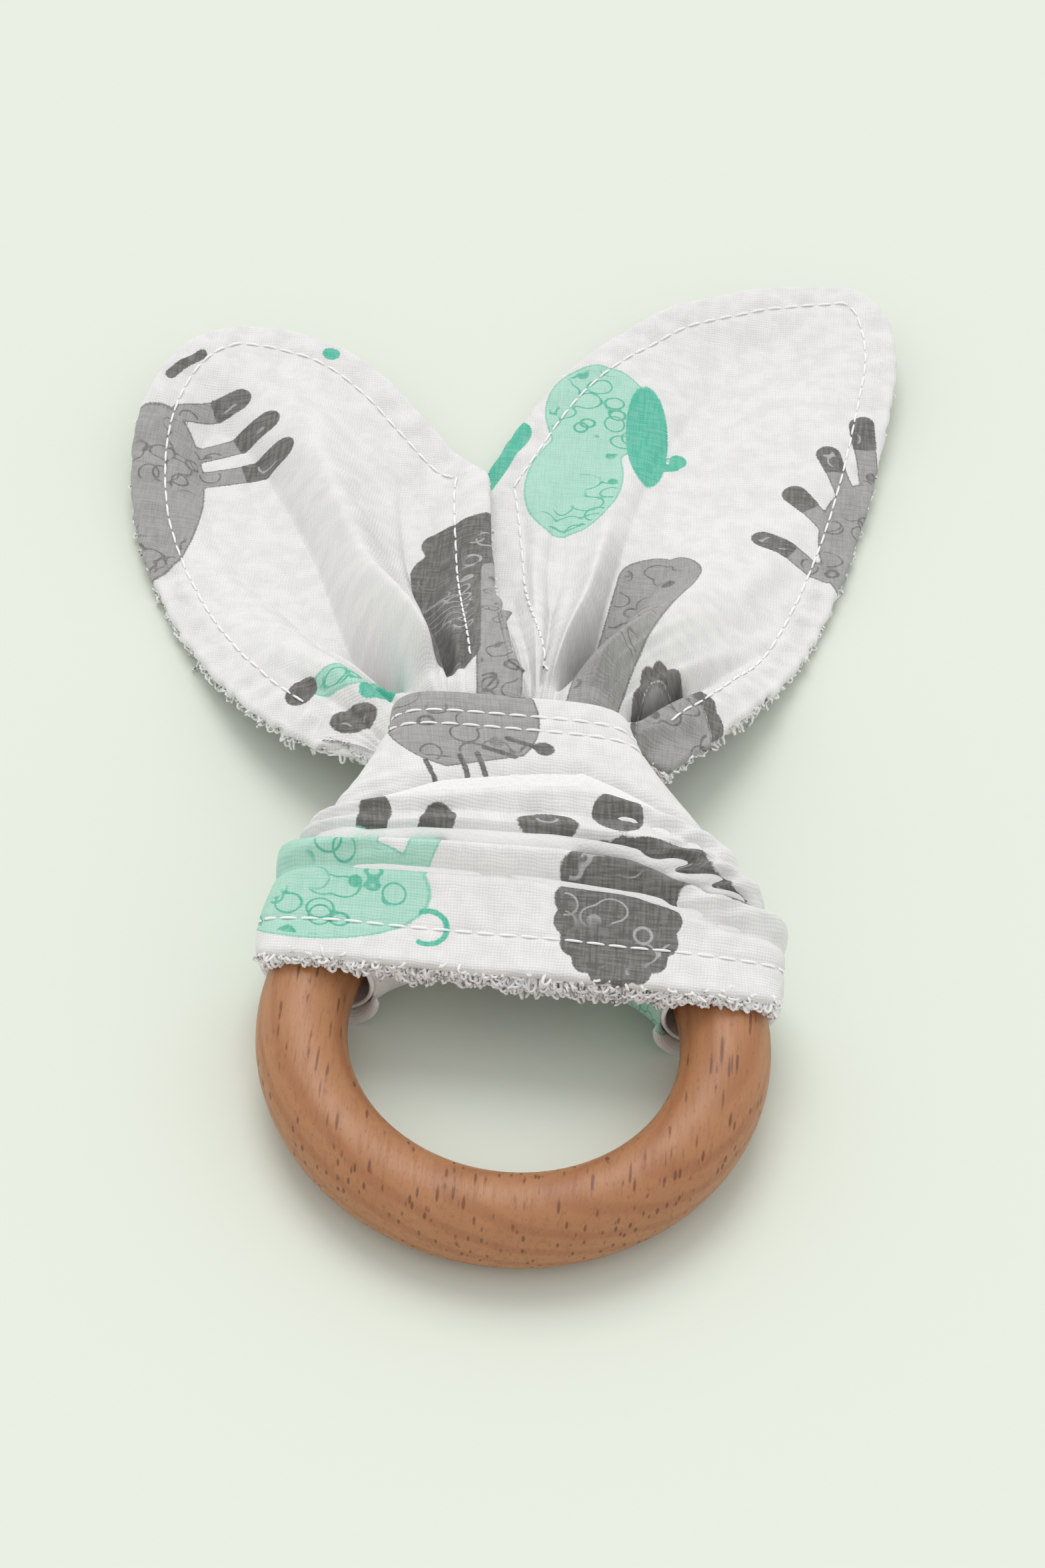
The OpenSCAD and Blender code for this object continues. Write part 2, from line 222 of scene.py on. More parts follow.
def ear_controls(side):
    ends = [(root_outer(side) + side * EAR_CORNER[0], FOLD_Y + EAR_CORNER[1])]
    curves = []
    for c in EAR_SHAPE[side]:
        pts = [(NECK_X + side * x * REACH[side], FOLD_Y + y * LENGTH[side]) for x, y in c]
        end = pts[2] if len(c) == 3 else notch(side)
        curves.append([ends[-1], pts[0], pts[1], end])
        ends.append(end)
    return curves


def ear_outline(side, n):
    """n + 1 points at even steps along the ear's edge, and the edge's length.

    The points run from the outer corner over the tip to the split's root.
    """
    steps = 200
    pts = [cubic(c, np.linspace(0, 1, steps, endpoint=False)) for c in ear_controls(side)]
    pts.append(mix(np.array(notch(side)), np.array([ear_split(side), FOLD_Y]),
                   np.linspace(0, 1, steps)[:, None]))
    path = np.concatenate(pts)
    s = arc(path)
    even = np.linspace(0, s[-1], n + 1)
    return np.stack([np.interp(even, s, path[:, i]) for i in (0, 1)], -1), s[-1]


def ear_distance(side, x, y):
    a, b = sorted((root_outer(side), ear_split(side)))
    return np.hypot(np.maximum(np.maximum(a - x, x - b), 0), y - FOLD_Y)


def ear_base(side, x, y, root_z):
    """The cotton's height over the table's cloth before any folds."""
    d = ear_distance(side, x, y)
    rise = TIP_RISE * smooth((d - TIP_FROM * LENGTH[side]) / (TIP_RUN * LENGTH[side]))
    return mix(root_z, FLOOR + TERRY_LOOSE + COTTON, smooth(d / EAR_SLOPE)) + rise


# Camera: the focal length and the place of a lens 0.4 m from the ring, seen from in front and above
CAMERA_AT = Vector((0.0, -0.2484, 0.3136))
CAMERA_AZIMUTH, CAMERA_ELEVATION, CAMERA_ROLL = 0.457, 46.707, 5.2
CAMERA_LENS, SENSOR_WIDTH = 67.41, 36
CLIP_NEAR, CLIP_FAR = 0.01, 20


def make_camera():
    az, el = math.radians(CAMERA_AZIMUTH), math.radians(CAMERA_ELEVATION)
    look = Vector((-math.sin(az) * math.cos(el), math.cos(az) * math.cos(el), -math.sin(el)))
    data = bpy.data.cameras.new("camera")
    data.lens = CAMERA_LENS
    data.sensor_width = SENSOR_WIDTH
    data.clip_start, data.clip_end = CLIP_NEAR, CLIP_FAR
    camera = bpy.data.objects.new("camera", data)
    bpy.context.scene.collection.objects.link(camera)
    turn = look.to_track_quat("-Z", "Y").to_matrix().to_4x4()
    roll = Matrix.Rotation(math.radians(CAMERA_ROLL), 4, "Z")
    camera.matrix_world = Matrix.Translation(CAMERA_AT) @ turn @ roll
    bpy.context.scene.camera = camera


# Meshes from grids and tubes
def link(mesh, name):
    obj = bpy.data.objects.new(name, mesh)
    bpy.context.scene.collection.objects.link(obj)
    return obj


def mesh_object(name, verts, faces, uv=None, values=None):
    """verts in millimetres, faces of four; uv is per vertex, and values holds named numbers per vertex."""
    used = np.zeros(len(verts), bool)
    used[faces] = True
    new = np.cumsum(used) - 1
    faces = new[faces]
    mesh = bpy.data.meshes.new(name)
    mesh.from_pydata((verts[used] * MM).tolist(), [], faces.tolist())
    corners = np.empty(len(mesh.loops), np.int32)
    mesh.loops.foreach_get("vertex_index", corners)
    if uv is not None:
        layer = mesh.uv_layers.new(name="UVMap")
        layer.data.foreach_set("uv", uv[used][corners].astype(np.float32).ravel())
    for key, value in (values or {}).items():
        attribute = mesh.attributes.new(key, "FLOAT", "POINT")
        attribute.data.foreach_set("value", value[used].astype(np.float32))
    mesh.polygons.foreach_set("use_smooth", np.ones(len(mesh.polygons), bool))
    mesh.update()
    return link(mesh, name)


def grid_faces(i):
    """The faces between the points whose numbers the grid i holds."""
    return np.stack([i[:-1, :-1], i[:-1, 1:], i[1:, 1:], i[1:, :-1]], -1).reshape(-1, 4)


def grid_normals(p):
    return unit(np.cross(np.gradient(p, axis=1), np.gradient(p, axis=0)))


def grid_object(name, grid, uv, values=None):
    """A sheet from a grid of points. Where the points are not numbers, it has no faces."""
    flat = grid.reshape(-1, 3)
    faces = grid_faces(np.arange(len(flat)).reshape(grid.shape[:2]))
    faces = faces[np.isfinite(flat).all(1)[faces].all(1)]
    return mesh_object(name, np.nan_to_num(flat), faces, np.nan_to_num(uv.reshape(-1, 2)), values)


def dress(obj, material, up, thickness, offset=-1.0):
    """Turns a sheet's faces towards up, and gives the sheet its material and thickness."""
    mesh = obj.data
    normals = np.empty(len(mesh.polygons) * 3, np.float32)
    mesh.polygons.foreach_get("normal", normals)
    if normals.reshape(-1, 3).mean(0) @ np.array((0, 0, up)) < 0:
        mesh.flip_normals()
    mesh.materials.append(material)
    mod = obj.modifiers.new("thickness", "SOLIDIFY")
    mod.thickness = thickness * MM
    mod.offset = offset
    mod.use_rim = True


def tubes(name, lines, radius, sides, material):
    """Many tubes in one mesh. lines is (tubes, steps, 3); radius is a number or (tubes, steps)."""
    n, steps = lines.shape[:2]
    along = unit(np.gradient(lines, axis=1))
    ref = np.where(np.abs(along[..., 2:3]) < 0.8, [0.0, 0.0, 1.0], [1.0, 0.0, 0.0])
    a = unit(np.cross(along, ref))
    b = np.cross(along, a)
    radius = np.broadcast_to(np.asarray(radius, float), (n, steps))[..., None, None]
    turn = np.arange(sides) * 2 * math.pi / sides
    ring = np.cos(turn)[:, None] * a[:, :, None] + np.sin(turn)[:, None] * b[:, :, None]
    verts = (lines[:, :, None] + radius * ring).reshape(-1, 3)
    i = np.arange(n * steps * sides).reshape(n, steps, sides)
    j = np.roll(i, -1, axis=2)
    faces = np.stack([i[:, :-1], i[:, 1:], j[:, 1:], j[:, :-1]], -1).reshape(-1, 4)
    obj = mesh_object(name, verts, faces)
    obj.data.materials.append(material)
    return obj


LOOP_STEPS, LOOP_SIDES = 7, 4


def yarn_loops(name, roots, up, rng, height, width, yarn, material):
    """Terry loops: little arches of yarn that stand on roots, each turned and leaning its own way."""
    n = len(roots)
    ref = unit(rng.normal(size=(n, 3)))
    a = unit(np.cross(up, ref))
    b = np.cross(up, a)
    q = np.linspace(0, math.pi, LOOP_STEPS)
    h = (height * rng.uniform(0.7, 1.2, n))[:, None] * np.sin(q) ** 0.7
    w = (width * rng.uniform(0.7, 1.3, n))[:, None] * np.cos(q) * (0.55 + 0.45 * np.sin(q))
    lean = (rng.normal(0, 0.35, n) * height)[:, None] * np.sin(q) ** 2
    lines = roots[:, None] + up[:, None] * h[..., None] + a[:, None] * (w[..., None] / 2)
    lines = lines + b[:, None] * lean[..., None]
    return tubes(name, lines, yarn / 2, LOOP_SIDES, material)


# Print: rounded shapes as signed distances in the cloth's own plane, negative inside
def capsule(x, y, ax, ay, bx, by, ra, rb=None):
    rb = ra if rb is None else rb
    dx, dy = bx - ax, by - ay
    h = np.clip(((x - ax) * dx + (y - ay) * dy) / max(dx * dx + dy * dy, 1e-9), 0, 1)
    return np.hypot(x - ax - h * dx, y - ay - h * dy) - mix(ra, rb, h)


def egg(x, y, cx, cy, rx, ry, turn=0.0, scallops=0, depth=0.0):
    c, s = math.cos(math.radians(turn)), math.sin(math.radians(turn))
    u, v = (x - cx) * c + (y - cy) * s, -(x - cx) * s + (y - cy) * c
    size = np.hypot(u / rx, v / ry)
    if scallops:
        size = size - depth * np.abs(np.cos(np.arctan2(v / ry, u / rx) * scallops / 2))
    return (size - 1) * min(rx, ry)


JOIN_SOFT = 1.2


def join(*fields):
    """Smooth union of distances."""
    out = fields[0]
    for f in fields[1:]:
        h = np.clip(0.5 + 0.5 * (out - f) / JOIN_SOFT, 0, 1)
        out = mix(out, f, h) - JOIN_SOFT * h * (1 - h)
    return out


# The longest distance that a field holds
FAR = 9.0


class Print:
    """Distance fields of the print's inks at the points x, y."""

    def __init__(self, x, y):
        self.x, self.y = x, y
        self.fields = {key: np.full(x.shape, FAR) for key in ("mint", "mint_deep", "grey", "grey_deep")}

    def add(self, ink, field):
        self.fields[ink] = np.minimum(self.fields[ink], field)

    def egg(self, ink, *numbers):
        self.add(ink, egg(self.x, self.y, *numbers))

    def bar(self, ink, *numbers):
        self.add(ink, capsule(self.x, self.y, *numbers))

    def leg(self, ax, ay, bx, by, r, ink="grey", cap=0.45):
        """A stub bar with a darker cap at its far end."""
        mx, my = mix(bx, ax, cap), mix(by, ay, cap)
        end = capsule(self.x, self.y, mx, my, bx, by, r * 1.12, r * 1.2)
        beyond = ((self.x - mx) * (bx - mx) + (self.y - my) * (by - my)) / math.hypot(bx - mx, by - my)
        self.bar(ink, ax, ay, bx, by, r, r * 1.1)
        self.add("grey_deep", np.maximum(end, -beyond))

    def values(self):
        return {"ink_" + key: np.clip(f, -FAR, FAR).ravel() for key, f in self.fields.items()}


def left_ear_print(x, y):
    p = Print(x, y)
    p.egg("grey", -67, 107, 8.5, 20, 4)
    p.leg(-65, 126.5, -56, 131, 1.7)
    p.leg(-61, 119.5, -50.5, 125.5, 1.7)
    p.leg(-60, 113.5, -47.5, 118.5, 1.9)
    p.bar("grey_deep", -68, 134, -63.5, 139.5, 0.9)
    p.egg("mint_deep", -42, 143, 1.5, 1.3)
    p.egg("mint", -30, 59, 5.5, 2.2)
    p.egg("mint_deep", -24.5, 57, 3.4, 2.4, 30)
    p.egg("grey_deep", -36.5, 58.5, 2.4, 2.3, 30)
    p.egg("grey_deep", -28, 52, 3.5, 2.2)
    trunk = capsule(x, y, -14.0, 60, -18, 96, 3.6, 5.6)
    p.add("grey_deep", join(trunk, capsule(x, y, -19.5, 103, -10.5, 105.5, 3.0), egg(x, y, -13, 99, 4, 4)))
    p.bar("grey", -6.5, 46, -10.5, 98, 3.2, 4.2)
    return p.values()


def right_ear_print(x, y):
    p = Print(x, y)
    p.add("mint", join(egg(x, y, 1, 121, 8, 13, -8), egg(x, y, 4, 138, 9, 11)))
    p.egg("mint_deep", 12.5, 134, 3.6, 11.5, 4)
    p.bar("mint_deep", 13, 127, 17.5, 128.5, 0.9)
    p.egg("mint_deep", 18, 130, 1.5, 1.6)
    p.bar("mint_deep", -15.0, 119, -9.6, 132, 2.8)
    p.bar("grey", 5.2, 47, 16.0, 99, 3.2, 6.6)
    p.egg("grey_deep", 17.5, 97, 1.0, 1.2)
    block = egg(x, y, 19.2, 54.5, 5.8, 10.0)
    edge = egg(x, y, 19.8, 55.5, 6.9, 11.4, 0, 15, 0.07)
    p.add("grey", block)
    p.add("grey_deep", np.maximum(edge, -block))
    p.egg("grey", 50, 112, 8.5, 15)
    p.leg(50, 128, 48.5, 140, 1.8)
    p.leg(46, 124, 43, 132, 1.8)
    p.leg(43.5, 115, 37.5, 122, 1.8)
    p.leg(43, 104, 32.5, 110, 1.7)
    return p.values()


def band_print(x, y):
    p = Print(x, y)
    p.add("grey", np.maximum(egg(x, y, -8, 42, 11.5, 11, -12), 31 + 0.28 * (x + 12) - y))
    for sx in (-13.5, -8.5, -6.0):
        top = 32.6 + 0.28 * (sx + 12)
        p.bar("grey_deep", sx, top, sx + 0.8, top - 3.2, 0.42)
    p.bar("grey_deep", -5, 35.6, -0.5, 34.2, 0.4)
    p.bar("grey_deep", -1.5, 37.6, 2.8, 36.3, 0.4)
    p.egg("grey_deep", 3.6, 36.2, 1.5, 1.2)
    p.add("mint", join(egg(x, y, -28, 9.5, 15, 7.8, 3), egg(x, y, -38, 12, 9, 7)))
    p.leg(-23, 15, -21, 22.3, 1.9, "mint", 0.4)
    p.leg(-15.5, 14, -12, 22.0, 1.9, "mint", 0.4)
    curl = np.abs(egg(x, y, -13.2, 5.0, 2.6, 2.6)) - 0.4
    p.add("mint_deep", np.maximum(curl, -14.6 - x))
    p.add("grey_deep", join(
        egg(x, y, 12.5, 9.5, 8.2, 10.5, 0, 17, 0.08), egg(x, y, 16, 17, 11, 4.2, 8),
        egg(x, y, 3.0, 22.3, 4.3, 2.4), egg(x, y, 13, 25.3, 3.6, 3.4)))
    p.egg("grey_deep", 28, 15.5, 4.5, 2.2, -20, 9, 0.1)
    p.egg("mint", 76, 12, 17, 16)
    p.egg("mint_deep", -78, 14, 4, 3)
    return p.values()


# Ears: plan from the CAD model's fan, heights from folds that run out from the neck
EAR_ROWS, EAR_COLS, NECK_ROWS, ROLL_ROWS = 200, 380, 12, 6
OUTLINE_STEPS = 1200
EDGE_R, EDGE_ROLL = 0.85, 150
NECK_DEPTH, NECK_SQUEEZE, NECK_SINK = 8.0, 0.80, -0.5
# Fine relief: crimps at the gathers, slow ripples, the dip at a seam, and the pucker between seam and edge
CRIMP, EAR_RIPPLE, EAR_SEAM_DIP, PUCKER = 0.22, 0.36, -0.24, 0.3
# The cotton stays this far above the table, and rises a little more where the folds would go through it
COTTON_CLEAR, CLEAR_SLOPE = 1.9, 0.05
CORNER_SHARE = 0.17
CORNER_OUT = {LEFT: 0.3, RIGHT: 2.0}
CORNER_BACK = {LEFT: 8.5, RIGHT: 3.5}
# At the split the left ear's edge lies over the right one's
SPLIT_LAP = 2.6
SPLIT_UP = {LEFT: 3.0, RIGHT: -1.9}
K_LAST = 0.993
# How the outline's share k is gathered at the root
ROOT_SHARE = {
    LEFT: [(0, 0), (0.2, 0.04), (0.3, 0.08), (0.44, 0.16), (0.53, 0.36), (0.61, 0.48), (0.8, 0.76), (1, 1)],
    RIGHT: [
        (0, 0), (0.19, 0.12), (0.3, 0.26), (0.46, 0.45), (0.53, 0.68), (0.65, 0.79), (0.72, 0.85), (1, 1),
    ],
}
# Height of the gathered cloth along the root, from the ear's outer corner to the split
ROOT_HEIGHT = [(0, 4.2), (0.08, 7.6), (0.2, 10.6), (0.35, 12.2), (0.6, 12.7), (1, 12.5)]
# Folds: (k at the root, k at the rim, width before, width after, height, full from, fades from, gone by)
FOLDS = {
    LEFT: [
        (0.44, 0.45, 0.06, 0.026, -10.5, 8, 44, 104),
        (0.515, 0.522, 0.036, 0.045, 7.5, 6, 50, 104),
        (0.612, 0.628, 0.012, 0.055, -5.0, 4, 30, 76),
        (0.78, 0.8, 0.1, 0.11, 2.4, 4, 30, 70),
        (0.25, 0.25, 0.08, 0.09, 2.4, 16, 40, 80),
        (0.35, 0.36, 0.03, 0.018, -3.0, 4, 14, 38),
        (0.2, 0.21, 0.03, 0.018, -2.4, 3, 10, 26),
        (0.705, 0.712, 0.014, 0.014, -1.8, 3, 16, 42),
        (0.87, 0.88, 0.018, 0.016, -2.0, 3, 20, 48),
    ],
    RIGHT: [
        (0.53, 0.53, 0.022, 0.018, -10.5, 5, 50, 104),
        (0.42, 0.435, 0.11, 0.05, 6.0, 6, 34, 72),
        (0.185, 0.195, 0.035, 0.016, -5.5, 4, 16, 50),
        (0.578, 0.59, 0.02, 0.026, 4.5, 5, 34, 78),
        (0.655, 0.665, 0.014, 0.012, -4.5, 4, 30, 70),
        (0.7, 0.706, 0.018, 0.016, 2.6, 4, 30, 66),
        (0.745, 0.752, 0.014, 0.022, -4.5, 5, 32, 80),
        (0.83, 0.845, 0.05, 0.06, 2.8, 5, 36, 80),
        (0.07, 0.08, 0.03, 0.04, 2.2, 2, 10, 30),
        (0.32, 0.32, 0.06, 0.06, 1.6, 30, 60, 100),
    ],
}
# Soft hollows and swells: (k, distance from the root, width in k, width in distance, height)
SWELLS = {
    LEFT: [(0.55, 85, 0.12, 14, -1.2), (0.36, 70, 0.08, 16, 0.8), (0.75, 45, 0.06, 12, 0.8)],
    RIGHT: [(0.52, 104, 0.07, 13, -2.6), (0.38, 84, 0.07, 16, 1.3), (0.66, 90, 0.07, 14, 1.2)],
}


def interp(pairs, x):
    xs, ys = zip(*pairs)
    return np.interp(x, xs, ys)


def soft_interp(pairs, x):
    """Piecewise values with rounded corners."""
    e = 0.02
    return (interp(pairs, x - e) + 2 * interp(pairs, x) + interp(pairs, x + e)) / 4


def ear_relief(side, k, r):
    z = np.zeros(np.broadcast(k, r).shape)
    for k0, k1, before, after, height, full, fades, gone in FOLDS[side]:
        d = k - mix(k0, k1, np.clip(r / 80, 0, 1))
        shape = np.exp(-np.abs(d / np.where(d < 0, before, after)) ** 1.8)
        z += height * shape * (0.16 + 0.84 * smooth(r / full)) * (1 - smooth((r - fades) / (gone - fades)))
    for k0, r0, wk, wr, height in SWELLS[side]:
        z += height * np.exp(-((k - k0) / wk) ** 2 - ((r - r0) / wr) ** 2)
    crimps = np.sin(k * 95 + 0.8 * np.sin(r / 7)) + 0.6 * np.sin(k * 151 + 1.3)
    return z + CRIMP * crimps * (1 - smooth((r - 4) / 34)) * smooth(r / 3 + 0.2)


def ripple(x, y):
    """Slow uneven waves of cloth that has been washed."""
    return (
        0.5 * np.sin(x / 6.1 + 1.7 * np.sin(y / 11.0)) * np.sin(y / 7.3 + 0.6)
        + 0.3 * np.sin(x / 3.2 + y / 4.1) + 0.2 * np.sin(x / 2.1 - y / 2.9 + 1.0)
    )


def ear_surface(side):
    """The cotton's top surface as a grid.

    Its rows run from inside the neck to the rim, its columns from the outer corner round to the split.
    """
    k = np.linspace(0, K_LAST, EAR_COLS)
    path, length = ear_outline(side, OUTLINE_STEPS)
    at = k * OUTLINE_STEPS
    outline = np.stack([np.interp(at, np.arange(OUTLINE_STEPS + 1), path[:, i]) for i in (0, 1)], -1)
    share = soft_interp(ROOT_SHARE[side], k)
    share = (share - share[0]) / (share[-1] - share[0])
    # The outer corner reaches down beside the neck, just outside the band
    beside = 1 - smooth(share / CORNER_SHARE)
    over = smooth((share - 0.8) / 0.2) * (SPLIT_LAP if side == LEFT else 0)
    root = np.stack([
        mix(root_outer(side), ear_split(side), share) + side * CORNER_OUT[side] * beside + over,
        FOLD_Y - CORNER_BACK[side] * beside,
    ], -1)
    reach = np.linalg.norm(outline - root, axis=1)
    inset = np.maximum(0.3, 1 - EDGE_R / reach)
    f = np.linspace(0, 1, EAR_ROWS)[:, None]
    plan = mix(root[None], outline[None], (f * inset)[..., None])
    r = f * inset * reach
    x, y = plan[..., 0], plan[..., 1]
    edge = np.full(x.shape, 1e9)
    place = np.zeros(x.shape)
    for i in range(0, OUTLINE_STEPS + 1, 3):
        d = np.hypot(x - path[i, 0], y - path[i, 1])
        near = d < edge
        edge = np.where(near, d, edge)
        place = np.where(near, i / OUTLINE_STEPS * length, place)
    root_z = soft_interp(ROOT_HEIGHT, share)
    base = ear_base(side, x, y, np.broadcast_to(root_z, x.shape))
    relief = ear_relief(side, np.broadcast_to(k, x.shape), r)
    relief = relief * (0.12 + 0.88 * smooth(edge / 13)) * smooth(k / 0.06 + 0.15)
    z = base + relief + EAR_RIPPLE * ripple(x, y) * smooth(r / 20)
    z += EAR_SEAM_DIP * np.exp(-(((edge - STITCH_INSET) / 0.8) ** 2)) + 0.1 * smooth((5 - edge) / 2)
    line = notch(side)
    to_split = np.abs(x - mix(ear_split(side), line[0], (y - FOLD_Y) / NOTCH_RUN))
    at_split = (1 - smooth(to_split / 9)) * smooth((line[1] + 6 - y) / 12)
    z += SPLIT_UP[side] * at_split
    pucker = PUCKER * np.sin(place / 1.25 + np.sin(place / 9.0)) * np.exp(-(((edge - 2.6) / 1.9) ** 2))
    z += pucker * smooth(r / 12) * (1 - at_split)
    z = np.maximum(z, FLOOR + COTTON_CLEAR + CLEAR_SLOPE * (z - FLOOR))
    top = np.stack([x, y, z], -1)
    # Rows that run back under the band
    back = np.linspace(1, 0, NECK_ROWS, endpoint=False)[:, None]
    depth = NECK_DEPTH * (1 - 0.75 * beside) * back
    neck_x = NECK_X + (root[:, 0] - NECK_X) * mix(1, NECK_SQUEEZE, smooth(back))
    neck_z = top[0, :, 2] + mix(0, NECK_SINK, smooth(back))
    neck = np.stack([neck_x, root[:, 1] - depth, neck_z], -1)
    return np.concatenate([neck, top])


def roll_angles(turn):
    return np.radians(np.linspace(0, turn, ROLL_ROWS + 1)[1:])[:, None, None]


def roll_under(points, up, out, radius, phi):
    """Rows of points that carry an edge outwards and under itself."""
    return points - radius * up + radius * (np.cos(phi) * up + np.sin(phi) * out)


def rolled(p, start_row):
    """A grid with a strip that rolls under its first column and last row: vertices, faces and rim."""
    n = grid_normals(p)
    r, c = p.shape[:2]
    index = np.arange(r * c).reshape(r, c)
    rim = np.concatenate([index[start_row:-1, 0], index[-1, :]])
    points = p.reshape(-1, 3)[rim]
    up = unit(n.reshape(-1, 3)[rim])
    up = np.where(up[:, 2:3] < 0, -up, up)
    along = unit(np.gradient(points, axis=0))
    out = np.cross(along, up)
    inner = p[r // 2, c // 2]
    out = unit(out * np.sign(((points - inner) * out).sum(1).mean()))
    for _ in range(3):
        out[1:-1] = (out[:-2] + out[1:-1] + out[2:]) / 3
    out = unit(out)
    strip = roll_under(points, up, out, EDGE_R, roll_angles(EDGE_ROLL))
    verts = np.concatenate([p.reshape(-1, 3), strip.reshape(-1, 3)])
    m = len(rim)
    ids = np.concatenate([rim[None], r * c + np.arange(ROLL_ROWS * m).reshape(ROLL_ROWS, m)])
    return verts, np.concatenate([grid_faces(index), grid_faces(ids)]), rim


def bvh_of(obj):
    mesh = obj.data
    verts = [v.co / MM for v in mesh.vertices]
    return BVHTree.FromPolygons(verts, [tuple(f.vertices) for f in mesh.polygons])


RAY_FROM = 60
STITCH_RISE, STITCH_SIDES = 0.2, 6


def stitches(name, path, tree, material, down):
    """Short arched threads along path at the sewing pitch, laid on the surface that tree holds."""
    s = arc(path)
    q = np.linspace(0, 1, 8)
    lines = []
    for i in range(int(s[-1] / STITCH_PITCH)):
        line = []
        for j, d in enumerate(i * STITCH_PITCH + q * STITCH_LENGTH):
            p = Vector([np.interp(d, s, path[:, m]) for m in range(3)])
            if down:
                hit = tree.ray_cast(Vector((p.x, p.y, RAY_FROM)), Vector((0, 0, -1)))
            else:
                hit = tree.find_nearest(p)
            if hit[0] is None:
                break
            n = hit[1] if hit[1].z > 0 or not down else -hit[1]
            lift = 0.02 + STITCH_RISE * math.sin(math.pi * q[j]) ** 0.6
            line.append(hit[0] + n * lift)
        if len(line) == len(q):
            lines.append([list(v) for v in line])
    lines = np.array(lines)
    radius = THREAD_D * 0.43 * (0.55 + 0.45 * np.sin(math.pi * q) ** 0.4)
    return tubes(name, lines, np.broadcast_to(radius, lines.shape[:2]), STITCH_SIDES, material)


def ear_stitch_path(side):
    path = ear_outline(side, 600)[0]
    along = np.gradient(path, axis=0)
    along = along / np.linalg.norm(along, axis=1, keepdims=True)
    for _ in range(150):
        along[1:-1] = (along[:-2] + along[1:-1] + along[2:]) / 3
    inner = path + STITCH_INSET * side * np.stack([-along[:, 1], along[:, 0]], -1)
    keep = inner[:, 1] > FOLD_Y + 1.5
    inner = inner[keep]
    return np.concatenate([inner, np.zeros((len(inner), 1))], 1)


def lowest_near(z):
    """The lowest height within two grid steps, softened."""
    wide = np.pad(z, 2, mode="edge")
    rows, cols = z.shape
    low = np.minimum.reduce([wide[i:i + rows, j:j + cols] for i in range(5) for j in range(5)])
    wide = np.pad(low, 1, mode="edge")
    return sum(wide[i:i + rows, j:j + cols] for i in range(3) for j in range(3)) / 9


COTTON_SHEET, EAR_TERRY_SHEET, BAND_TERRY_SHEET, LEG_TERRY_SHEET = 0.8 * COTTON, 0.7, 0.5, 0.4
# How thick the gathered terry is at the ear's root, and the area of cloth for each loop
GATHERED_TERRY, LOOP_AREA = 5.5, 2.3
EAR_LOOP, BAND_LOOP, EAR_YARN, BAND_YARN = 1.2, 1.3, 0.42, 0.46
RIM_LOOP_HEIGHT = 1.25


def make_ear(side, cotton, terry, thread):
    name = SIDES[side]
    rng = np.random.default_rng(11 + side)
    p = ear_surface(side)
    verts, faces, rim = rolled(p, NECK_ROWS)
    xy = verts[:, :2]
    ink = (left_ear_print if side == LEFT else right_ear_print)(xy[:, 0], xy[:, 1])
    cloth = mesh_object(name + "_ear_cloth", verts, faces, xy, ink)
    dress(cloth, cotton, 1, COTTON_SHEET)
    row = stitches(name + "_ear_stitches", ear_stitch_path(side), bvh_of(cloth), thread, down=True)

    # Terry under the cotton, thick where it is gathered at the root
    low = p[::3, ::4].copy()
    nearest_x = np.clip(low[..., 0], *sorted((root_outer(side), ear_split(side))))
    reach = np.hypot(low[..., 0] - nearest_x, low[..., 1] - FOLD_Y)
    gathered = (1 - smooth(reach / 26)) * smooth((low[..., 2] - 3.5) / 5)
    low[..., 2] = lowest_near(low[..., 2]) - COTTON - 0.75 - GATHERED_TERRY * gathered
    low[..., 2] = np.maximum(low[..., 2], FLOOR + 0.5)
    back = grid_object(name + "_ear_towelling", low, low[..., :2])
    dress(back, terry, -1, EAR_TERRY_SHEET)

    # Loops over the underside, and a fuller row along the rim
    flat = low[4:, :]
    m = grid_normals(flat)
    m = np.where(m[..., 2:3] > 0, -m, m)
    area = np.linalg.norm(np.cross(np.gradient(flat, axis=0), np.gradient(flat, axis=1)), axis=-1)
    area = area[:-1, :-1]
    count = int(area.sum() / LOOP_AREA)
    pick = rng.choice(area.size, count, p=area.ravel() / area.sum())
    i, j = np.divmod(pick, area.shape[1])
    u, v = rng.uniform(size=(2, count, 1))
    under = mix(mix(flat[i, j], flat[i, j + 1], u), mix(flat[i + 1, j], flat[i + 1, j + 1], u), v)
    under_up = unit(m[i, j] + rng.normal(0, 0.25, (count, 3)))
    room = np.clip(under[:, 2] - FLOOR - 0.15, 0.3, 1.7)

    rim_points = verts[rim]
    centre = rim_points.mean(0)
    pick = rng.integers(2, len(rim) - 2, int(len(rim) * 0.9) * 2)
    along = unit(rim_points[pick + 1] - rim_points[pick - 1])
    out = unit(np.cross(along, [0, 0, 1.0]))
    out = out * np.sign(((rim_points[pick] - centre) * out).sum(1, keepdims=True))
    drop = rng.uniform(1.0, 2.4, (len(pick), 1))
    at = rim_points[pick] - out * rng.uniform(0.2, 1.0, (len(pick), 1)) - np.array([0, 0, 1.0]) * drop
    at[:, 2] = np.maximum(at[:, 2], FLOOR + 0.45)
    lean = unit(out + np.array([0, 0, -0.5]) + rng.normal(0, 0.3, out.shape))
    lean[:, 2] = np.where(at[:, 2] < FLOOR + 1.5, np.abs(lean[:, 2]) * 0.2, lean[:, 2])
    roots = np.concatenate([under, at])
    ups = unit(np.concatenate([under_up, lean]))
    height = np.concatenate([room, np.full(len(at), RIM_LOOP_HEIGHT)])
    loops = yarn_loops(name + "_ear_loops", roots, ups, rng, height, EAR_LOOP, EAR_YARN, terry)
    return cloth, back, loops, row


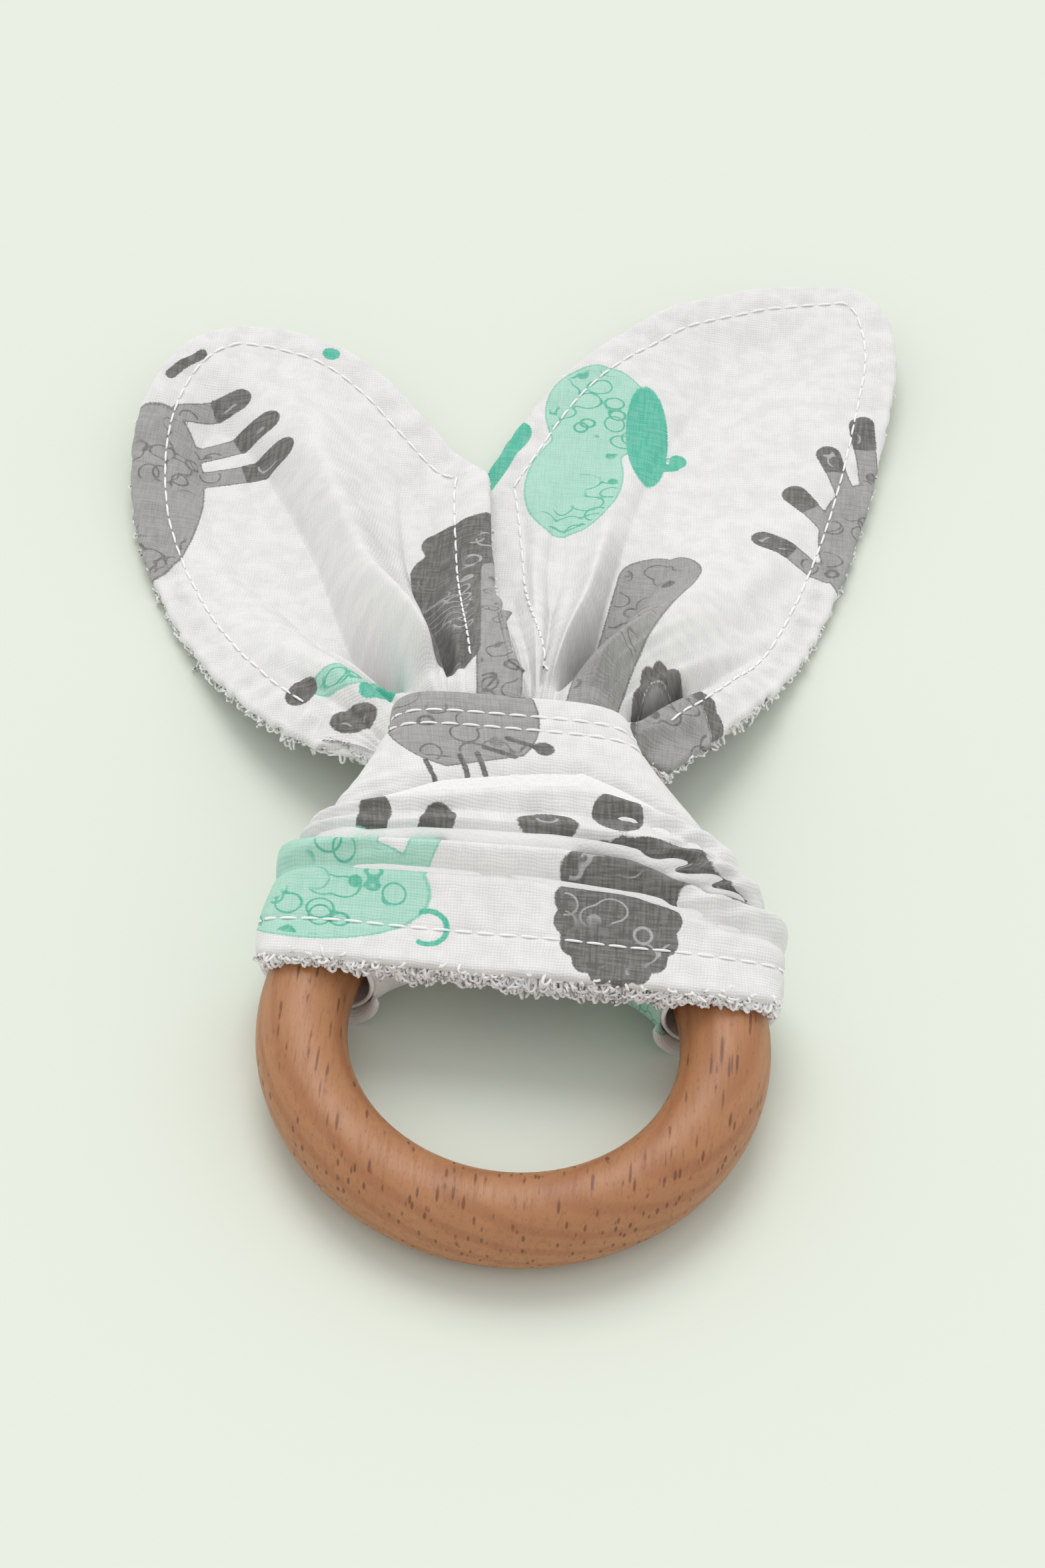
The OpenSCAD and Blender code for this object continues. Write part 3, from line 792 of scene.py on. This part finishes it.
# Band: the arch over the ring with its folds, and the wraps that carry it round the rim
BAND_ROWS, BAND_COLS, WRAP_COLS = 150, 260, 44
# Creases across the band: (across, distance from the lower edge) along it, width below, width above, height
CREASES = [
    ([(-1, 22), (-0.6, 25), (-0.35, 28), (0, 30.5), (0.3, 31.5), (0.6, 27), (1, 20)], 0.9, 1.9, -1.0),
    ([(-1, 21), (-0.6, 23), (-0.3, 25.5), (0, 27.5), (0.3, 28.5), (0.6, 25), (1, 19)], 1.3, 1.3, 0.45),
    ([(-1, 20), (-0.6, 21.5), (-0.2, 24), (0.1, 24.8), (0.4, 25), (0.6, 22.5), (1, 17)], 0.7, 0.9, -0.35),
    ([(-1, 19), (-0.6, 20), (-0.2, 21.6), (0.1, 22), (0.4, 21.6), (0.6, 19), (1, 15)], 1.1, 1.1, 0.5),
    ([(-1, 17.5), (-0.6, 18.6), (-0.3, 19), (0.1, 19.6), (0.35, 18.8), (0.55, 15.6), (1, 12)],
     0.6, 1.0, -1.35),
    ([(-1, 15.5), (-0.6, 16.6), (-0.3, 17), (0.1, 17.4), (0.35, 16.6), (0.55, 13.4), (1, 10)],
     2.6, 1.1, 1.0),
    ([(-1, 12), (-0.6, 13.5), (0.0, 13.8), (0.35, 12.8), (0.6, 9.6), (1, 8)], 0.7, 0.7, -0.35),
]
# Side pleats where the folds draw together: (across, spread, distance, pitch, height)
SIDE_PLEATS = [(-0.62, 0.16, 21, 2.6, 0.55), (0.60, 0.14, 18, 2.5, 0.65)]
SEAM_R, SEAM_ROLL = 0.9, 165
BAND_FOLD, BAND_RIPPLE, BAND_SEAM_DIP = 2.0, 0.35, -0.28
# The wraps' ends stand off the rim where they come up inside the hole
WRAP_INSIDE = -208
HOLE_HANG = 4.5
# Terry loops on each millimetre of the lower edge
EDGE_LOOPS = 34


def band_relief(s, v):
    z = np.zeros(s.shape)
    for line, below, above, height in CREASES:
        d = v - soft_interp(line, s)
        fade = 1 - 0.55 * smooth((np.abs(s) - 0.75) / 0.25)
        z += BAND_FOLD * height * fade * np.exp(-np.abs(d / np.where(d < 0, below, above)) ** 1.7)
    for s0, ws, v0, pitch, height in SIDE_PLEATS:
        wave = np.cos((v - v0 - 9 * (s - s0)) * 2 * math.pi / pitch)
        z += height * wave * np.exp(-((s - s0) / ws) ** 2 - ((v - v0) / 6.5) ** 2)
    for seam in (STITCH_INSET, NECK_V - NECK_STITCH_INSET, NECK_V - NECK_STITCH_INSET - CLOSING_OFFSET):
        z += BAND_SEAM_DIP * np.exp(-((v - seam) / 0.6) ** 2)
    return z + BAND_RIPPLE * ripple(40 * s, v) * smooth((34 - v) / 6)


t_rows = np.linspace(0, 1, BAND_ROWS)
theta_cols = even_angles(BAND_COLS)
v_rows = arc(band_point(t_rows, 90.0, CLOTH))
NECK_V = v_rows[-1]
s_cols = np.linspace(-1, 1, BAND_COLS + 1)


def strip_grid(off, relief):
    """Band and wraps in one grid in the row frame. Where no wrap is, the points are not numbers."""
    band = band_point(t_rows[:, None], theta_cols[None], off)
    up = grid_normals(band)
    up = np.where((up * (band - [NECK_X / 2, 22, -12])).sum(-1, keepdims=True) < 0, -up, up)
    s, v = np.broadcast_arrays(s_cols[None], v_rows[:, None])
    band = band + up * (relief * band_relief(s, v))[..., None]
    psi = np.linspace(0, WRAP_INSIDE, WRAP_COLS + 1)[1:]
    k = np.where(t_rows <= WRAP_SHARE, t_rows / WRAP_SHARE, np.nan)[:, None]
    k, psi = np.broadcast_arrays(k, psi[None])
    wraps = []
    for side, column, theta in ((LEFT, 0, 180.0), (RIGHT, -1, 0.0)):
        edge = band[:, column] - band_point(t_rows, theta, off)
        fade = (1 - smooth(-psi / 90))[..., None]
        hang = smooth((-psi - 130) / 70) * np.minimum(0.4 + 12 * k, HOLE_HANG)
        round_rim = wrap_point(side, k, psi, off)
        away = ring_normal(side, mix(WRAP_LOW, WRAP_HIGH, k), psi)
        wraps.append(round_rim + away * hang[..., None] + edge[:, None] * fade)
    return tilted(np.concatenate([wraps[0][:, ::-1], band, wraps[1]], 1))


def strip_coordinates(p):
    """Distance across from the middle column, and along from the lower edge."""
    step = np.linalg.norm(np.diff(p, axis=1), axis=2)
    u = np.concatenate([np.zeros((len(p), 1)), np.nancumsum(step, 1)], 1)
    u = u - u[:, p.shape[1] // 2][:, None]
    return u, np.broadcast_to(v_rows[:, None], u.shape)


def make_band(cotton, terry, thread):
    rng = np.random.default_rng(5)
    p = strip_grid(CLOTH, 1.0)
    u, v = strip_coordinates(p)
    rows, cols = p.shape[:2]
    # The lower edge rolls over the terry; so does the neck's edge
    n = grid_normals(p)
    core = p[:, WRAP_COLS + 1:-WRAP_COLS - 1]
    from_inside = p - core[rows // 2, core.shape[1] // 2] + [0, 0, 30]
    n = np.where((n * from_inside).sum(-1, keepdims=True) < 0, -n, n)
    from_end = np.minimum(np.arange(cols), cols - 1 - np.arange(cols))[:, None]
    roll_share = mix(0.2, 1, smooth(from_end / (WRAP_COLS * 0.5)))
    phi = roll_angles(SEAM_ROLL)
    strips = []
    uvs = []
    for row, step in ((0, 1), (-1, -1)):
        up = n[row]
        out = unit(p[row] - p[row + 2 * step])
        out = unit(out - up * (out * up).sum(-1, keepdims=True))
        strips.append(roll_under(p[row], up, out, SEAM_R * roll_share, phi))
        arc_v = v[row][None] - step * SEAM_R * phi[..., 0]
        uvs.append(np.stack(np.broadcast_arrays(u[row][None], arc_v), -1))
    whole = np.concatenate([strips[0][::-1], p, strips[1]])
    uv = np.concatenate([uvs[0][::-1], np.stack([u, v], -1), uvs[1]])
    ink = band_print(uv[..., 0].ravel(), uv[..., 1].ravel())
    cloth = grid_object("band_cloth", whole, uv, ink)
    dress(cloth, cotton, 1, COTTON_SHEET)
    tree = bvh_of(cloth)

    def sew(name, distance, margin):
        i = np.interp(distance, v_rows, np.arange(rows))
        j = np.arange(WRAP_COLS + margin, cols - WRAP_COLS - margin)
        a = int(i)
        return stitches(name, mix(p[a, j], p[min(a + 1, rows - 1), j], i - a), tree, thread, down=False)

    lower = sew("band_stitches", STITCH_INSET, 14)
    upper = sew("neck_stitches", NECK_V - NECK_STITCH_INSET, 10)
    closing = sew("closing_stitches", NECK_V - NECK_STITCH_INSET - CLOSING_OFFSET, 30)

    # Terry: a sheet inside the cotton, with loops below it and a thick row at the lower edge
    inner = strip_grid(0.9, 0.6)[::2, ::2]
    back = grid_object("band_towelling", inner, np.stack([u, v], -1)[::2, ::2])
    dress(back, terry, -1, BAND_TERRY_SHEET)

    angles = even_angles(402)[2:-2]
    edge = tilted(band_point(0.0, angles, 0.0))
    edge_up = unit(tilted(band_point(0.0, angles, 1.0)) - edge)
    inward = tilted(band_point(0.05, angles, 0.0))
    out = unit(edge - inward)
    length = arc(edge)
    count = int(length[-1] * EDGE_LOOPS)
    at = rng.uniform(0, length[-1], count)
    i = np.clip(np.searchsorted(length, at), 1, len(angles) - 2)
    over_hole = smooth((CENTRE_R - SECTION_R + 1 - np.abs(edge[i, 0:1])) / 4)
    layer = rng.uniform(-0.1, 1.5, (count, 1)) - 2.3 * over_hole * rng.uniform(0, 1, (count, 1))
    back_by = rng.uniform(-0.5, 2.2, (count, 1)) * (1 - 0.35 * np.clip(layer, 0, 2))
    roots = edge[i] + (edge[i - 1] - edge[i]) * rng.uniform(0, 1, (count, 1))
    roots = roots + edge_up[i] * layer - out[i] * back_by
    lean = unit(out[i] + edge_up[i] * rng.normal(-0.35, 0.4, (count, 1)) + rng.normal(0, 0.25, (count, 3)))
    height = rng.uniform(1.1, 2.0, count)
    # Loops on the underside, where the band crosses the hole
    mid = inner[:, WRAP_COLS // 2 + 8:-WRAP_COLS // 2 - 8]
    m = int(mid.shape[0] * mid.shape[1] * 0.09)
    a, b = rng.integers(0, int(mid.shape[0] * 0.55), m), rng.integers(0, mid.shape[1] - 1, m)
    roots = np.concatenate([roots, mid[a, b] - [0, 0, 0.5]])
    ups = np.concatenate([lean, unit(np.array([0, 0, -1.0]) + rng.normal(0, 0.25, (m, 3)))])
    height = np.concatenate([height, np.full(m, 0.8)])
    loops = yarn_loops("band_loops", roots, ups, rng, height, BAND_LOOP, BAND_YARN, terry)
    return cloth, back, loops, lower, upper, closing


# Legs: the strip's ends, gathered, coming up through the hole and over the far rim
LEG_COLS, LEG_ROWS = 60, 70
# The share of the leg's length that runs from the rim to the neck
LEG_LAST = 0.25


def leg_surface(side, rim_t, neck_t, gathers):
    k = np.linspace(0, 1, LEG_COLS)[None]
    s = np.linspace(1, 0, LEG_ROWS)[:, None]
    psi = np.where(s > LEG_LAST, mix(60, 250, (s - LEG_LAST) / (1 - LEG_LAST)), 60.0)
    q = np.clip((LEG_LAST - s) / LEG_LAST, 0, 1)
    a = mix(WRAP_HIGH, LEG_END, k) + 0 * s
    psi = psi + 0 * k
    on_rim = round_ring(side, a, psi, RING_GAP)
    split_x = NECK_X + side * LEG_SLIT / 2
    outer_x = NECK_X + side * (NECK_W / 2 - LEG_SIDE_GAP)
    neck = np.stack(np.broadcast_arrays(mix(outer_x, split_x, k), NECK_Y - 1.0, 0.0 * k), -1)
    p = mix(on_rim, neck, q[..., None])
    up = unit(mix(ring_normal(side, a, psi), np.array([0, 0, 1.0]), q[..., None]))
    fill = mix(0.5, 1, smooth(k / 0.3))
    thick = mix(rim_t, neck_t * fill, smooth(q))
    wave = gathers * np.cos(k * 2 * math.pi * 4.5 + 1.2 * s) * (0.4 + 0.6 * s)
    return tilted(p + up * (thick + wave)[..., None])


def make_leg(side, cotton, terry):
    name = SIDES[side]
    fill = BAND_INNER + BAND_CROWN - 2.4
    top = leg_surface(side, TERRY_TIGHT + 2 * COTTON, fill, 0.45)
    uv = np.stack(np.meshgrid(np.linspace(0, 30, LEG_COLS), np.linspace(0, 42, LEG_ROWS)), -1)
    p = Print(uv[..., 0].ravel(), uv[..., 1].ravel())
    if side == RIGHT:
        p.egg("mint", 6, 8, 16, 14)
    else:
        p.egg("mint_deep", 15, 14, 4, 3)
    cloth = grid_object(name + "_leg_cloth", top, uv, p.values())
    dress(cloth, cotton, 1, COTTON_SHEET)
    back = grid_object(name + "_leg_towelling", leg_surface(side, 0.5, 0.6, 0.2), uv)
    dress(back, terry, -1, LEG_TERRY_SHEET, 0)
    return cloth, back


# Materials
def linear(r, g, b):
    def one(c):
        c /= 255
        return c / 12.92 if c <= 0.04045 else ((c + 0.055) / 1.055) ** 2.4
    return (one(r), one(g), one(b), 1)


class Nodes:
    """A small builder for node trees."""

    def __init__(self, name):
        self.material = bpy.data.materials.new(name)
        self.material.use_nodes = True
        self.tree = self.material.node_tree
        self.tree.nodes.clear()
        out = self.tree.nodes.new("ShaderNodeOutputMaterial")
        self.shader = self.tree.nodes.new("ShaderNodeBsdfPrincipled")
        self.tree.links.new(self.shader.outputs[0], out.inputs[0])

    def new(self, kind, **props):
        node = self.tree.nodes.new("ShaderNode" + kind)
        for key, value in props.items():
            setattr(node, key, value)
        return node

    def put(self, socket, value):
        if isinstance(value, bpy.types.NodeSocket):
            self.tree.links.new(value, socket)
        else:
            socket.default_value = value

    def feed(self, node, **sockets):
        for key, value in sockets.items():
            if value is not None:
                self.put(node.inputs[key.replace("_", " ")], value)
        return node

    def fill(self, node, *values):
        for i, value in enumerate(values):
            self.put(node.inputs[i], value)
        return node.outputs[0]

    def math(self, op, *values):
        return self.fill(self.new("Math", operation=op), *values)

    def times(self, a, b):
        return self.math("MULTIPLY", a, b)

    def plus(self, a, b):
        return self.math("ADD", a, b)

    def minus(self, a, b):
        return self.math("SUBTRACT", a, b)

    def mix(self, fac, a, b, kind="MIX"):
        node = self.new("Mix", data_type="RGBA", blend_type=kind)
        self.put(node.inputs[0], fac)
        self.put(node.inputs[6], a)
        self.put(node.inputs[7], b)
        return node.outputs[2]

    def over(self, color, mask, share, tone):
        """Lays a tone over a colour where mask is 1, by the share given."""
        return self.mix(self.times(mask, share), color, linear(*tone))

    def band(self, value, low, high, to_low=0.0, to_high=1.0):
        node = self.new("MapRange", interpolation_type="SMOOTHSTEP")
        return self.fill(node, value, low, high, to_low, to_high)

    def noise(self, vector, scale, detail=2.0, rough=0.5):
        node = self.new("TexNoise")
        return self.feed(node, Vector=vector, Scale=scale, Detail=detail, Roughness=rough).outputs["Fac"]

    def cells(self, vector, scale, feature="F1", **sockets):
        node = self.new("TexVoronoi", feature=feature)
        return self.feed(node, Vector=vector, Scale=scale, **sockets).outputs["Distance"]

    def stretch(self, vector, scale, turn=(0, 0, 0)):
        turn = [math.radians(a) for a in turn]
        return self.feed(self.new("Mapping"), Vector=vector, Scale=scale, Rotation=turn).outputs[0]

    def bump(self, height, strength, distance_mm, under=None):
        node = self.new("Bump")
        self.feed(node, Strength=strength, Distance=distance_mm * MM, Height=height, Normal=under)
        return node.outputs[0]

    def finish(self, color, roughness, normal=None, **sockets):
        self.feed(self.shader, Base_Color=color, Roughness=roughness, Normal=normal, **sockets)
        return self.material


WEAVE = 0.43
RING_CELLS, PETAL_CELLS = 0.19, 0.2
# Each ink: name, two tones, its doodles' start and colour, its outline's half width, share and colour
INKS = [
    ("mint", (164, 216, 196), (184, 226, 209), (-0.7, (92, 188, 160)), (0.25, 0.6, (112, 196, 172))),
    ("mint_deep", (78, 186, 158), (96, 196, 170), None, None),
    ("grey", (152, 151, 149), (168, 167, 165), (-0.7, (118, 117, 115)), (0.22, 0.75, (110, 109, 106))),
    ("grey_deep", (98, 96, 92), (114, 112, 108), (-1.1, (172, 173, 172)), None),
]


def cotton_material():
    m = Nodes("printed cotton")
    uv = m.new("UVMap", uv_map="UVMap").outputs[0]
    wobble = m.times(m.minus(m.noise(uv, 0.35, 1.0), 0.5), 0.9)

    def threads(way):
        return m.math("ABSOLUTE", m.math("SINE", m.times(m.plus(way, wobble), math.pi / WEAVE)))

    weave = m.times(*(threads(way) for way in m.feed(m.new("SeparateXYZ"), Vector=uv).outputs[:2]))
    slub = m.times(*(m.noise(m.stretch(uv, scale), 1.0) for scale in ((0.25, 2.2, 1), (2.2, 0.25, 1))))
    ragged = m.times(m.minus(m.noise(uv, 3.2), 0.5), 0.42)

    def inside(field, edge=0.0, soft=0.11):
        return m.band(field, edge + soft, edge - soft)

    def line_at(distance, radius):
        return m.band(m.math("ABSOLUTE", m.minus(distance, radius)), 0.21, 0.08)

    # Doodles: rings and petals drawn with a fine line round scattered centres
    rings = m.cells(m.stretch(uv, (1, 1, 1), (0, 0, 20)), RING_CELLS, Randomness=0.75)
    petals = m.cells(m.stretch(uv, (1, 1.3, 1), (0, 0, -35)), PETAL_CELLS, "SMOOTH_F1", Smoothness=0.35)
    lines = m.math("MAXIMUM", line_at(m.times(rings, 1 / RING_CELLS), 1.7),
                   line_at(m.times(petals, 1 / PETAL_CELLS), 2.2))
    lines = m.times(lines, m.band(m.noise(uv, 0.07, 1.0), 0.44, 0.50))

    fade = m.noise(uv, 0.3)
    color = m.mix(m.band(fade, 0.35, 0.65), linear(238, 237, 235), linear(230, 229, 228))
    for name, first, second, doodle, border in INKS:
        field = m.plus(m.new("Attribute", attribute_name="ink_" + name).outputs["Fac"], ragged)
        tone = m.mix(fade, linear(*first), linear(*second))
        if doodle:
            tone = m.over(tone, lines, inside(field, doodle[0]), doodle[1])
        if border:
            half, share, border_tone = border
            outline = m.band(m.math("ABSOLUTE", field), half + 0.12, half - 0.08)
            tone = m.over(tone, outline, share, border_tone)
        color = m.mix(inside(field), color, tone)

    # Painted shade: the colour darkens in the grooves between the threads, where the weave's height is low
    color = m.mix(m.band(weave, 0.55, 0.0, 0.0, 0.13), color, linear(70, 70, 74), "MULTIPLY")
    color = m.mix(m.band(slub, 0.16, 0.34, 0.0, 0.09), color, (1, 1, 1, 1))
    normal = m.bump(m.noise(uv, 0.9, 3.0), 0.16, 0.35)
    normal = m.bump(m.plus(weave, m.times(slub, 0.8)), 0.55, 0.09, normal)
    return m.finish(color, 0.88, normal, Sheen_Weight=0.12, Sheen_Roughness=0.5, Specular_IOR_Level=0.25)


def terry_material():
    m = Nodes("white towelling")
    at = m.new("TexCoord").outputs["Object"]
    fine = m.noise(at, 2600)
    color = m.mix(m.noise(at, 260), linear(252, 251, 250), linear(245, 244, 243))
    # Painted shade: the colour greys a little in the pile's hollows, where the fine bump is low
    color = m.mix(m.band(fine, 0.35, 0.55, 0.05, 0.0), color, linear(180, 180, 182))
    return m.finish(color, 0.92, m.bump(fine, 0.6, 0.2), Sheen_Weight=0.3, Sheen_Roughness=0.6,
                    Specular_IOR_Level=0.2)


def thread_material():
    m = Nodes("sewing thread")
    at = m.new("TexCoord").outputs["Object"]
    twist = m.noise(m.stretch(at, (5200, 5200, 1800), (35, 35, 0)), 1.0, 1.0)
    color = m.mix(twist, linear(255, 255, 255), linear(246, 246, 246))
    return m.finish(color, 0.6, m.bump(twist, 0.5, 0.06), Sheen_Weight=0.1)


GROWTH_RING = 0.0027


def beech_material():
    """Beech cut with its grain along Y: growth bands across Z, fine streaks, and short dark ray flecks."""
    m = Nodes("beech")
    at = m.new("TexCoord").outputs["Object"]
    x, y, z = m.feed(m.new("SeparateXYZ"), Vector=at).outputs
    level = m.plus(m.plus(z, m.times(x, 0.16)), m.times(m.times(y, y), -1.1))
    level = m.plus(level, m.times(m.noise(m.stretch(at, (60, 14, 60)), 1.0), 0.0024))
    rings = m.band(m.math("SINE", m.times(level, 2 * math.pi / GROWTH_RING)), -0.2, 1.0)
    streak = m.noise(m.stretch(at, (1500, 110, 1500)), 1.0, 3.0, 0.6)
    wide = m.noise(m.stretch(at, (130, 24, 130)), 1.0)
    color = m.mix(wide, linear(182, 129, 88), linear(166, 112, 72))
    color = m.over(color, rings, 0.42, (152, 94, 58))
    color = m.mix(m.band(streak, 0.45, 0.75, 0.0, 0.38), color, linear(140, 86, 52))
    fleck = m.band(m.cells(m.stretch(at, (1150, 95, 700), (0, 0, 4)), 1.0), 0.32, 0.16)
    fleck = m.times(fleck, m.band(m.noise(at, 420, 1.0), 0.36, 0.50))
    color = m.over(color, fleck, 0.72, (92, 52, 30))
    pores = m.band(m.noise(m.stretch(at, (5200, 900, 5200)), 1.0, 1.0), 0.62, 0.74)
    color = m.over(color, pores, 0.32, (112, 68, 44))
    height = m.minus(m.times(streak, 0.4), m.plus(fleck, m.times(pores, 0.5)))
    rough = m.band(streak, 0.3, 0.7, 0.40, 0.52)
    return m.finish(color, rough, m.bump(height, 0.35, 0.06), Coat_Weight=0.12, Coat_Roughness=0.35,
                    Specular_IOR_Level=0.45)


FLOOR_HALF, FLOOR_DROP = 3.0, 0.02
FLOOR_COLOR = (226, 232, 220)
SKY, KEY, KEY_SPREAD = 0.79, 1.07, 36
KEY_TRAVELS = (0.12, -0.5, -0.86)


def make_stage():
    mesh = bpy.data.meshes.new("floor")
    corners = [(x * FLOOR_HALF, y * FLOOR_HALF, 0) for x, y in ((-1, -1), (1, -1), (1, 1), (-1, 1))]
    mesh.from_pydata(corners, [], [(0, 1, 2, 3)])
    floor = link(mesh, "floor")
    floor.location.z = (FLOOR - FLOOR_DROP) * MM
    m = Nodes("pale floor")
    floor.data.materials.append(m.finish(linear(*FLOOR_COLOR), 1.0, Specular_IOR_Level=0.0))
    world = bpy.data.worlds.new("sky")
    world.use_nodes = True
    background = world.node_tree.nodes["Background"]
    background.inputs[0].default_value = (1, 1, 1, 1)
    background.inputs[1].default_value = SKY
    bpy.context.scene.world = world
    light = bpy.data.lights.new("key", "SUN")
    light.energy = KEY
    light.angle = math.radians(KEY_SPREAD)
    key = bpy.data.objects.new("key", light)
    key.rotation_mode = "QUATERNION"
    key.rotation_quaternion = Vector(KEY_TRAVELS).to_track_quat("-Z", "Y")
    bpy.context.scene.collection.objects.link(key)
    bpy.context.scene.view_settings.view_transform = "Standard"


make_camera()
make_stage()
cotton, terry, thread, beech = cotton_material(), terry_material(), thread_material(), beech_material()

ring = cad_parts["wooden_ring"]
ring.data.materials.clear()
ring.data.materials.append(beech)

band, band_back, band_loops, lower_row, upper_row, closing_row = make_band(cotton, terry, thread)
for piece in (band, band_back, band_loops, lower_row, upper_row, closing_row):
    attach(piece, "knot")
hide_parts("band_cotton", "left_wrap_cotton", "right_wrap_cotton")
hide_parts("band_terry", "left_wrap_terry", "right_wrap_terry")
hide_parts("band_topstitch")
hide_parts("closing_stitch")

for side in (LEFT, RIGHT):
    word = SIDES[side]
    leg, leg_back = make_leg(side, cotton, terry)
    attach(leg, "knot")
    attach(leg_back, "knot")
    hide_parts(word + "_leg_cotton")
    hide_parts(word + "_leg_terry")

    cloth, back, loops, row = make_ear(side, cotton, terry, thread)
    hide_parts(word + "_ear_cotton")
    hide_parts(word + "_ear_terry")
    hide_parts(word + "_ear_topstitch")
    for piece in (cloth, back, loops, row):
        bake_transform(piece)
